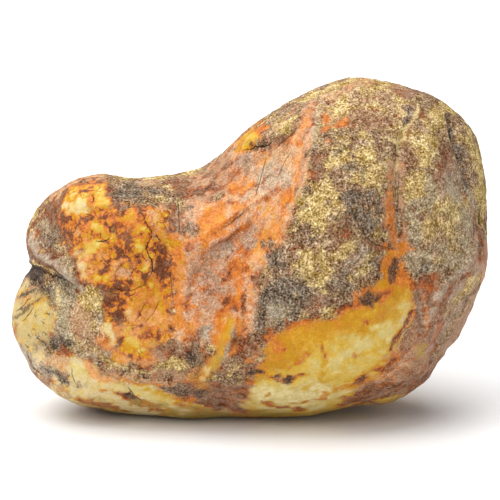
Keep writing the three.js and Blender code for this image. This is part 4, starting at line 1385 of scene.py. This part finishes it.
@dataclass(frozen=True)
class Crumbs:
    """Small crumbs that lie on the skin in clumps."""

    amount: str  # the attribute that says how much they cover
    clump: str  # the pattern that gathers them
    share: float  # how far that attribute lifts the pattern
    edge: Span  # of a clump, and how much it hides
    some: Span = Span(0.0, 0.12)  # the amount at which they begin

    def cover(self, tree: NodeTree, skin: Sockets) -> NodeSocket:
        """Works out where they lie.

        Args:
            tree: The material's tree.
            skin: The patterns and attributes by name.

        Returns:
            How fully they cover the skin.
        """
        add = partial(add_node, tree)
        lifted = {0: skin[self.amount], 1: self.share, 2: skin[self.clump]}
        clumps = add(RANGE, self.edge.of(add(MATH, lifted, operation="MULTIPLY_ADD")))
        some = add(RANGE, self.some.of(skin[self.amount]))
        return add(MATH, {0: clumps, 1: some}, operation="MULTIPLY")


@dataclass(frozen=True)
class WeatheredNephrite:
    """River-tumbled jade, found as "nephrite in its rind".

    The bare stone is felted tremolite, worn smooth by sand and water: waxy, a little lit from inside,
    with soft wide highlights (index 1.61). Where iron has stained it, it is honey to orange. The rest
    is a dull rind, leached and pitted, with straw-coloured crumbs and dark specks that stop any shine.
    Single grains are finer than a quarter millimetre and are drawn about twice as coarse, to show;
    raised grains are painted lighter and pits darker, as painted light and shade.
    Sizes are in millimetres.
    """

    name: str = "weathered_nephrite"
    index: float = 1.61
    roughness: Span = Span(start=0.34, end=0.80)  # of bare stone and of crust
    grain_roughness: float = 0.16
    gloss: float = 0.12
    glow: float = 0.06
    glow_depth: float = 3.0
    glow_spread: tuple[float, float, float] = (1.0, 0.55, 0.25)  # red light goes furthest
    bump_depth: float = 0.55
    nodule_size: float = 2.9
    bend_size: float = 3.2  # of the noise that bends the nodules, and how far it does
    bend_detail: float = 3.0
    bend_reach: float = 6.0
    patterns: Mapping[str, Unevenness] = field(default_factory=lambda: {
        "stain": Unevenness(2.6, 2.6, 0.65, 0.0),
        "cling": Unevenness(2.0, 2.4, 0.65, 9.0),
        "russet": Unevenness(4.5, 3.4, 0.60, 13.0),
        "clump": Unevenness(4.6, 5.0, 0.69, 7.0),
        "speck": Unevenness(3.0, 5.0, 0.72, 11.0),
        "crumb": Unevenness(2.0, 3.5, 0.68, 3.0),
        "grain": Unevenness(0.5, 3.0, 0.75, 1.0),
        "jag": Unevenness(1.6, 5.0, 0.75, 5.0),
    })
    stages: Sequence[tuple[float, str]] = (
        (0.00, "#7d6650"), (0.08, "#7a563a"), (0.15, "#6b3c22"), (0.23, "#8c4a20"), (0.33, "#b26228"),
        (0.45, "#c67628"), (0.58, "#b97f0c"), (0.72, "#c2921e"), (0.86, "#c6a545"), (1.00, "#c4af6c"),
    )
    stain_swing: Span = Span(0.45, 1.0, 0.8, 0.35)  # how far stain moves the stage: less in pale stone
    nodule_swing: float = 1.7  # how much further in nodules
    nodule_least: float = 0.15  # the darkest stage in a nodule
    seam_stage: float = -0.42  # how far a seam goes back towards rind
    seam_edge: Span = Span(0.01, 0.14, 1.0, 0.0)
    seam_gaps: Span = Span(-0.15, 0.1, 0.25, 1.0)
    russet: str = "#8e6242"
    russet_spots: Span = Span(0.02, 0.14, 0.0, 0.45)
    cling_swing: float = 1.6
    cling_edge: Span = Span(0.30, 0.70, 0.0, 0.92)
    straw: Crumbs = Crumbs("grains", "clump", 0.40, Span(0.13, 0.25, 0.0, 0.80))
    straw_tints: tuple[str, str] = ("#a98a48", "#cfb578")  # deep and pale
    straw_pale: Span = Span(-0.10, 0.12)
    flecks: Crumbs = Crumbs("flecks", "speck", 0.36, Span(0.14, 0.28, 0.0, 0.70))
    fleck_tint: str = "#403024"
    crack_tint: str = "#2a1c16"
    crack_edge: Span = Span(0.2, 0.9, 0.9, 0.0)
    crack_jag: float = 9.0  # how far the crack's line wanders, in half widths
    display_gamma: float = 2.2
    fine_power: float = 1.5  # how suddenly crust turns gritty
    # grit contrast, fine and wide: partly the grains' own tone, partly painted light on raised grains and
    # painted shade in pits
    fine_grit_and_pit_shade: Span = Span(start=0.22, end=2.0)  # its contrast on bare stone and on crust
    wide_grit_and_pit_shade: Span = Span(start=0.15, end=0.55)
    darkest: tuple[float, float, float] = (0.10, 0.08, 0.07)  # as seen
    lightest: tuple[float, float, float] = (0.96, 0.95, 0.90)
    crumb_bump: float = 1.4
    bump_share: Span = Span(start=0.06, end=1.0)  # on bare stone and on crust
    crack_bump: float = -1.2
    seam_bump: float = -0.35

    def build(self) -> Material:
        """Makes the material.

        Returns:
            The material.
        """
        material = bpy.data.materials.new(self.name)
        material.use_nodes = True
        tree = material.node_tree
        tree.nodes.clear()
        add = partial(add_node, tree)
        names = (*Paint.NAMES, "crack", "crack_side")
        skin = {name: add("ShaderNodeAttribute", out="Fac", attribute_name=name) for name in names}
        skin["veil"] = add("ShaderNodeAttribute", attribute_name="veil")
        skin |= {name: pattern.read(tree) for name, pattern in self.patterns.items()}
        skin["cracked"] = self.cracked(tree, skin)
        skin["seam"] = self.seam(tree, skin)
        rough = add(RANGE, self.roughness.of(skin["crust"]))
        rough = {0: skin["grain"], 1: self.grain_roughness, 2: rough}
        shader = add("ShaderNodeBsdfPrincipled", {
            "Roughness": add(MATH, rough, operation="MULTIPLY_ADD"), "Base Color": self.colour(tree, skin),
            "IOR": self.index, "Specular IOR Level": self.gloss, "Subsurface Weight": self.glow,
            "Subsurface Radius": self.glow_spread, "Subsurface Scale": self.glow_depth * MM,
            "Normal": self.relief(tree, skin),
        })
        add("ShaderNodeOutputMaterial", {"Surface": shader})
        return material

    def colour(self, tree: NodeTree, skin: Sockets) -> NodeSocket:
        """Mixes the skin's colour: its weathering, what clings, grit with painted light and shade, and
        cracks.

        Args:
            tree: The material's tree.
            skin: The patterns and attributes by name.

        Returns:
            The colour.
        """
        add = partial(add_node, tree)
        swing = add(RANGE, self.stain_swing.of(skin["bare"]))
        swing = add(MATH, {0: skin["cells"], 1: self.nodule_swing, 2: swing}, operation="MULTIPLY_ADD")
        stage = add(MATH, {0: skin["stain"], 1: swing, 2: skin["bare"]}, operation="MULTIPLY_ADD")
        stage = add(MATH, {0: skin["seam"], 1: self.seam_stage, 2: stage}, operation="MULTIPLY_ADD")
        least = add(MATH, {0: skin["cells"], 1: self.nodule_least}, operation="MULTIPLY")
        stage = add(MATH, {0: stage, 1: least}, operation="MAXIMUM")
        red = add(RANGE, self.russet_spots.of(skin["russet"]))
        red = add(MATH, {0: red, 1: skin["crust"]}, operation="MULTIPLY")
        veil = {0: red, 6: skin["veil"], 7: linear_rgba(self.russet)}
        veil = add(MIX, veil, out=2, data_type="RGBA")
        hold = {0: skin["cling"], 1: self.cling_swing, 2: skin["veiled"]}
        hold = add(RANGE, self.cling_edge.of(add(MATH, hold, operation="MULTIPLY_ADD")))
        colour = add(MIX, {0: hold, 6: self.ramp(tree, stage), 7: veil}, out=2, data_type="RGBA")
        pale = add(RANGE, self.straw_pale.of(skin["crumb"]))
        deep_straw, pale_straw, fleck, crack = (
            linear_rgba(tint) for tint in (*self.straw_tints, self.fleck_tint, self.crack_tint))
        straw = add(MIX, {0: pale, 6: deep_straw, 7: pale_straw}, out=2, data_type="RGBA")
        cover = self.straw.cover(tree, skin)
        colour = add(MIX, {0: cover, 6: colour, 7: straw}, out=2, data_type="RGBA")
        cover = self.flecks.cover(tree, skin)
        colour = add(MIX, {0: cover, 6: colour, 7: fleck}, out=2, data_type="RGBA")
        colour = self.grit_tone_and_pit_shade(tree, skin, colour)
        return add(MIX, {0: skin["cracked"], 6: colour, 7: crack}, out=2, data_type="RGBA")

    def grit_tone_and_pit_shade(self, tree: NodeTree, skin: Sockets, colour: NodeSocket) -> NodeSocket:
        """Lightens and darkens a colour grain by grain, by equal steps to the eye: the grains' own tone,
        with painted light on raised grains and painted shade in the pits, from the noise that bumps them.

        Args:
            tree: The material's tree.
            skin: The patterns and attributes by name.
            colour: The even colour.

        Returns:
            The colour with its grit, and its painted light and shade.
        """
        add = partial(add_node, tree)
        fine = add(MATH, {0: skin["crust"], 1: self.fine_power}, operation="POWER")
        fine = add(RANGE, self.fine_grit_and_pit_shade.of(fine))
        fine = add(MATH, {0: fine, 1: skin["grain"]}, operation="MULTIPLY")
        wide = add(RANGE, self.wide_grit_and_pit_shade.of(skin["crust"]))
        light = add(MATH, {0: wide, 1: skin["crumb"], 2: fine}, operation="MULTIPLY_ADD")
        seen = add("ShaderNodeGamma", {0: colour, 1: 1.0 / self.display_gamma})
        seen = add(ALONG, {0: seen, 1: light}, operation="ADD")
        seen = add(ALONG, {0: seen, 1: self.darkest}, operation="MAXIMUM")
        seen = add(ALONG, {0: seen, 1: self.lightest}, operation="MINIMUM")
        return add("ShaderNodeGamma", {0: seen, 1: self.display_gamma})

    def cracked(self, tree: NodeTree, skin: Sockets) -> NodeSocket:
        """Finds where a crack is open: near its line, which a fine noise makes jagged.

        Args:
            tree: The material's tree.
            skin: The patterns and attributes by name.

        Returns:
            How dark the crack is.
        """
        add = partial(add_node, tree)
        across = {0: skin["jag"], 1: self.crack_jag, 2: skin["crack_side"]}
        off = add(MATH, {0: add(MATH, across, operation="MULTIPLY_ADD")}, operation="ABSOLUTE")
        near = add(RANGE, self.crack_edge.of(off))
        return add(MATH, {0: near, 1: skin["crack"]}, operation="MULTIPLY")

    def seam(self, tree: NodeTree, skin: Sockets) -> NodeSocket:
        """Finds where nodules meet: the broken sides of uneven cells, bent by a noise.

        Args:
            tree: The material's tree.
            skin: The patterns and attributes by name.

        Returns:
            How deep the seam is.
        """
        add = partial(add_node, tree)
        place = add("ShaderNodeTexCoord", out="Object")
        bend = {0: place, "Scale": 1.0 / (self.bend_size * MM), "Detail": self.bend_detail}
        bend = {0: add(NOISE, bend, out="Color"), "Scale": self.bend_reach * MM}
        place = add(ALONG, {0: place, 1: add(ALONG, bend, operation="SCALE")}, operation="ADD")
        scale = 1.0 / (self.nodule_size * MM)
        side = add(CELLS, {0: place, "Scale": scale}, feature="DISTANCE_TO_EDGE")
        seam = add(MATH, {0: add(RANGE, self.seam_edge.of(side)), 1: skin["cells"]}, operation="MULTIPLY")
        broken = add(RANGE, self.seam_gaps.of(skin["crumb"]))
        return add(MATH, {0: seam, 1: broken}, operation="MULTIPLY")

    def ramp(self, tree: NodeTree, stage: NodeSocket) -> NodeSocket:
        """Gives the stone's own colour at each stage, from rind to pale stone.

        Args:
            tree: The material's tree.
            stage: The stage, from 0 to 1.

        Returns:
            The colour.
        """
        colour = add_node(tree, "ShaderNodeValToRGB", {0: stage})
        held = colour.node.color_ramp.elements
        while len(held) < len(self.stages):
            held.new(1.0)
        for element, (place, tint) in zip(held, self.stages):
            element.position = place
            element.color = linear_rgba(tint)
        return colour

    def relief(self, tree: NodeTree, skin: Sockets) -> NodeSocket:
        """Raises the grains that are too small for the mesh, and sinks the cracks.

        Args:
            tree: The material's tree.
            skin: The patterns and attributes by name.

        Returns:
            The normal.
        """
        add = partial(add_node, tree)
        height = {0: skin["crumb"], 1: self.crumb_bump, 2: skin["grain"]}
        height = add(MATH, height, operation="MULTIPLY_ADD")
        share = add(RANGE, self.bump_share.of(skin["crust"]))
        height = add(MATH, {0: height, 1: share}, operation="MULTIPLY")
        for name, depth in (("cracked", self.crack_bump), ("seam", self.seam_bump)):
            height = add(MATH, {0: skin[name], 1: depth, 2: height}, operation="MULTIPLY_ADD")
        return add("ShaderNodeBump", {"Height": height, "Distance": self.bump_depth * MM, "Strength": 1.0})


@dataclass(frozen=True)
class SkinRelief:
    """The Geometry Nodes tree that raises the weathered skin along the stone's own surface.

    Heights, waves and spacings are in millimetres.
    """

    name: str = "weathered skin"
    fold_height: float = 1.0  # for each millimetre drawn
    lump_height: float = 0.30
    lump_wave: float = 6.5
    grit_height: float = 0.34
    grit_wave: float = 2.0
    pit_depth: float = 0.28
    pit_spacing: float = 3.2
    foot_height: float = 1.2  # the skin is plain this far up from the flat it stands on
    seed: float = 4.0
    finer: float = 3.0  # how many finer waves ride on lumps and grit
    gain: float = 0.6  # strength of each finer wave beside the one before
    swing: Span = Span(0.2, 0.8, -1.0, 1.0)  # what a noise gives, and the swing made of it
    pit: Span = Span(0.05, 0.38, -1.0, 0.0)  # from a pit's floor to its rim, in spacings
    lift: Span = Span(0.3, 1.0, 0.0, MM)  # from the plain foot up to the full skin

    def inputs(self) -> dict[str, float]:
        """Lists the tree's number inputs.

        Returns:
            What this stone gives each input, by the input's name.
        """
        return {
            "Fold Height": self.fold_height, "Lump Height": self.lump_height, "Lump Wave": self.lump_wave,
            "Grit Height": self.grit_height, "Grit Wave": self.grit_wave, "Pit Depth": self.pit_depth,
            "Pit Spacing": self.pit_spacing, "Foot Height": self.foot_height, "Seed": self.seed,
        }

    def build(self) -> NodeTree:
        """Makes the tree.

        Returns:
            The tree.
        """
        tree = bpy.data.node_groups.new(self.name, "GeometryNodeTree")
        tree.interface.new_socket("Geometry", in_out="INPUT", socket_type="NodeSocketGeometry")
        for name in self.inputs():
            tree.interface.new_socket(name, in_out="INPUT", socket_type="NodeSocketFloat")
        tree.interface.new_socket("Skin", in_out="INPUT", socket_type="NodeSocketMaterial")
        tree.interface.new_socket("Geometry", in_out="OUTPUT", socket_type="NodeSocketGeometry")
        add = partial(add_node, tree)
        given = add("NodeGroupInput").node.outputs
        along = add("GeometryNodeInputNormal")
        offset = add(ALONG, {0: along, "Scale": self.height(tree, given)}, operation="SCALE")
        moved = add("GeometryNodeSetPosition", {"Geometry": given["Geometry"], "Offset": offset})
        real = add("GeometryNodeRealizeInstances", {"Geometry": moved})
        dressed = add("GeometryNodeSetMaterial", {"Geometry": real, "Material": given["Skin"]})
        add("NodeGroupOutput", {"Geometry": dressed})
        return tree

    def height(self, tree: NodeTree, given: NodeOutputs) -> NodeSocket:
        """Works out how far each point is raised: by folds and lumps all over, grit and pits in the crust.

        Args:
            tree: The tree.
            given: The tree's inputs.

        Returns:
            The height, in metres.
        """
        add = partial(add_node, tree)
        drawn = {name: add("GeometryNodeInputNamedAttribute", {"Name": name}, data_type="FLOAT")
                 for name in ("rise", "crust")}
        swells = []
        for kind in ("Lump", "Grit"):
            scale = add(MATH, {0: 1.0 / MM, 1: given[f"{kind} Wave"]}, operation="DIVIDE")
            inputs = {"W": given["Seed"], "Scale": scale, "Detail": self.finer, "Roughness": self.gain}
            swell = add(NOISE, inputs, noise_dimensions="4D")
            swell = add(RANGE, self.swing.of(swell), clamp=False)
            swells.append(add(MATH, {0: swell, 1: given[f"{kind} Height"]}, operation="MULTIPLY"))
        lumps, grit = swells
        scale = add(MATH, {0: 1.0 / MM, 1: given["Pit Spacing"]}, operation="DIVIDE")
        pit = add(CELLS, {"W": given["Seed"], "Scale": scale}, voronoi_dimensions="4D")
        pit = add(RANGE, self.pit.of(pit))
        worn = add(MATH, {0: pit, 1: given["Pit Depth"], 2: grit}, operation="MULTIPLY_ADD")
        worn = add(MATH, {0: worn, 1: drawn["crust"], 2: lumps}, operation="MULTIPLY_ADD")
        height = add(MATH, {0: drawn["rise"], 1: given["Fold Height"], 2: worn}, operation="MULTIPLY_ADD")
        up = add("ShaderNodeSeparateXYZ", {0: add("GeometryNodeInputPosition")}, out="Z")
        foot = add(MATH, {0: given["Foot Height"], 1: MM}, operation="MULTIPLY")
        lift = add(RANGE, self.lift.of(add(MATH, {0: up, 1: foot}, operation="DIVIDE")))
        return add(MATH, {0: height, 1: lift}, operation="MULTIPLY")

    def apply(self, piece: Object, material: Material) -> None:
        """Raises the skin of a piece and keeps the result as its plain mesh.

        Args:
            piece: The piece, with its attributes.
            material: The material that the tree sets.
        """
        tree = self.build()
        modifier = piece.modifiers.new(self.name, "NODES")
        modifier.node_group = tree
        values = {**self.inputs(), "Skin": material}
        for socket in tree.interface.items_tree:
            if socket.name in values:
                modifier[socket.identifier] = values[socket.name]
        make_plain(piece)


def make_plain(piece: Object) -> None:
    """Turns a piece and its modifiers into a plain mesh.

    Args:
        piece: The piece.
    """
    graph = bpy.context.evaluated_depsgraph_get()
    ready = piece.evaluated_get(graph)
    mesh = bpy.data.meshes.new_from_object(ready, preserve_all_data_layers=True, depsgraph=graph)
    piece.modifiers.clear()
    piece.data = mesh


def show(name: str, data: ID) -> Object:
    """Puts new data into the scene.

    Args:
        name: The object's name.
        data: Its mesh, lamp or camera.

    Returns:
        The object.
    """
    made = bpy.data.objects.new(name, data)
    bpy.context.scene.collection.objects.link(made)
    return made


@dataclass
class Stone:
    """The whole pebble: one closed body, cut fine from its solid and dressed in weathered skin."""

    node: str = "pebble"
    name: str = "weathered_pebble"
    merge_distance: float = 0.001 * MM
    cut_levels: int = 2
    cell: float = 0.63 * MM
    smooth_factor: float = 0.5
    smooth_rounds: int = 6
    painter: Painter = field(default_factory=Painter)
    relief: SkinRelief = field(default_factory=SkinRelief)
    finish: WeatheredNephrite = field(default_factory=WeatheredNephrite)

    def cut(self) -> Object:
        """Cuts a fine, even, rounded mesh from the solid's facets.

        Returns:
            The plain piece.
        """
        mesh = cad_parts[self.node].data.copy()
        mesh.materials.clear()
        kit = bmesh.new()
        kit.from_mesh(mesh)
        bmesh.ops.remove_doubles(kit, verts=kit.verts, dist=self.merge_distance)
        kit.to_mesh(mesh)
        kit.free()
        piece = show(self.name, mesh)
        rounded = piece.modifiers.new("rounded", "SUBSURF")
        rounded.levels = rounded.render_levels = self.cut_levels
        even = piece.modifiers.new("even", "REMESH")
        even.mode = "VOXEL"
        even.voxel_size = self.cell
        soft = piece.modifiers.new("soft", "SMOOTH")
        soft.factor = self.smooth_factor
        soft.iterations = self.smooth_rounds
        make_plain(piece)
        return piece

    def paint(self, piece: Object) -> None:
        """Works out the dressing of every point and keeps it on the mesh.

        Args:
            piece: The plain piece.
        """
        places = np.empty(len(piece.data.vertices) * 3)
        piece.data.vertices.foreach_get("co", places)
        self.painter.read_both(places.reshape(-1, 3)).store(piece.data)

    def set_down(self, piece: Object) -> None:
        """Keeps the raised skin from going below the ground, and shades it smooth.

        Args:
            piece: The dressed piece.
        """
        places = np.empty(len(piece.data.vertices) * 3)
        piece.data.vertices.foreach_get("co", places)
        places[2::3] = np.maximum(places[2::3], 0.0)
        piece.data.vertices.foreach_set("co", places)
        piece.data.shade_smooth()
        piece.data.update()

    def build(self) -> Object:
        """Builds the piece and puts it in its solid's place.

        Returns:
            The piece.
        """
        piece = self.cut()
        self.paint(piece)
        self.relief.apply(piece, self.finish.build())
        self.set_down(piece)
        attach(piece, "root")
        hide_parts(self.node)
        return piece


@dataclass(frozen=True)
class Lamp:
    """A wide soft lamp, far enough away to light the whole sweep evenly."""

    name: str
    comes_from: tuple[float, float, float]
    strength: float
    spread_deg: float

    def build(self) -> Object:
        """Makes the lamp and turns it to the stone.

        Returns:
            The lamp.
        """
        light = bpy.data.lights.new(self.name, "SUN")
        light.energy = self.strength
        light.angle = math.radians(self.spread_deg)
        lamp = show(self.name, light)
        lamp.rotation_euler = Vector(self.comes_from).to_track_quat("Z", "Y").to_euler()
        return lamp


@dataclass(frozen=True)
class Studio:
    """A white sweep under soft lamps, and the camera."""

    floor_side: float = 6.0
    floor_tint: str = "#e6e6e6"
    floor_roughness: float = 0.9
    sky: float = 0.28
    sky_tint: str = "#ffffff"
    sensor: float = 36.0
    lamps: Sequence[Lamp] = (
        Lamp("key", (-0.55, -0.45, 0.70), 1.75, 45.0),
        Lamp("fill", (0.25, -0.85, 0.50), 0.6, 70.0),
        Lamp("crown", (-0.15, 0.20, 0.95), 3.6, 70.0),
    )

    def lay_floor(self) -> Object:
        """Lays the matt white sweep that the stone stands on.

        Returns:
            The sweep.
        """
        half = self.floor_side / 2
        corners = [(-half, -half, 0), (half, -half, 0), (half, half, 0), (-half, half, 0)]
        mesh = bpy.data.meshes.new("sweep")
        mesh.from_pydata(corners, [], [(0, 1, 2, 3)])
        # Matt paint, too rough for a highlight: the floor shows the stone's soft shadow and nothing else.
        material = bpy.data.materials.new("matt_white")
        material.use_nodes = True
        shader = material.node_tree.nodes["Principled BSDF"]
        shader.inputs["Base Color"].default_value = linear_rgba(self.floor_tint)
        shader.inputs["Roughness"].default_value = self.floor_roughness
        mesh.materials.append(material)
        floor = show("sweep", mesh)
        return floor

    def light(self) -> None:
        """Lights the sweep and the stone from a pale room and soft lamps."""
        world = bpy.data.worlds.new("pale_room")
        world.use_nodes = True
        room = world.node_tree.nodes["Background"]
        room.inputs["Strength"].default_value = self.sky
        room.inputs["Color"].default_value = linear_rgba(self.sky_tint)
        bpy.context.scene.world = world
        for lamp in self.lamps:
            lamp.build()

    def point_camera(self, outlook: Outlook) -> Object:
        """Sets the camera at an outlook.

        Args:
            outlook: The outlook.

        Returns:
            The camera.
        """
        data = bpy.data.cameras.new("camera")
        data.sensor_width = self.sensor
        data.lens = self.sensor * outlook.distance / outlook.span
        camera = show("camera", data)
        turn = Matrix(outlook.axes().T.tolist()).to_4x4()
        camera.matrix_world = Matrix.Translation(Vector(outlook.eye())) @ turn
        bpy.context.scene.camera = camera
        return camera


def main() -> None:
    """Builds the stone and its studio."""
    logging.basicConfig(level=logging.INFO, format="%(name)s: %(message)s")
    stone = Stone().build()
    LOG.info("%s: %d points, %d faces", stone.name, len(stone.data.vertices), len(stone.data.polygons))
    studio = Studio()
    LOG.info("%s laid", studio.lay_floor().name)
    studio.light()
    LOG.info("%s set", studio.point_camera(FRONT).name)
    bpy.context.scene.view_settings.view_transform = "Standard"


if __name__ == "__main__":
    main()
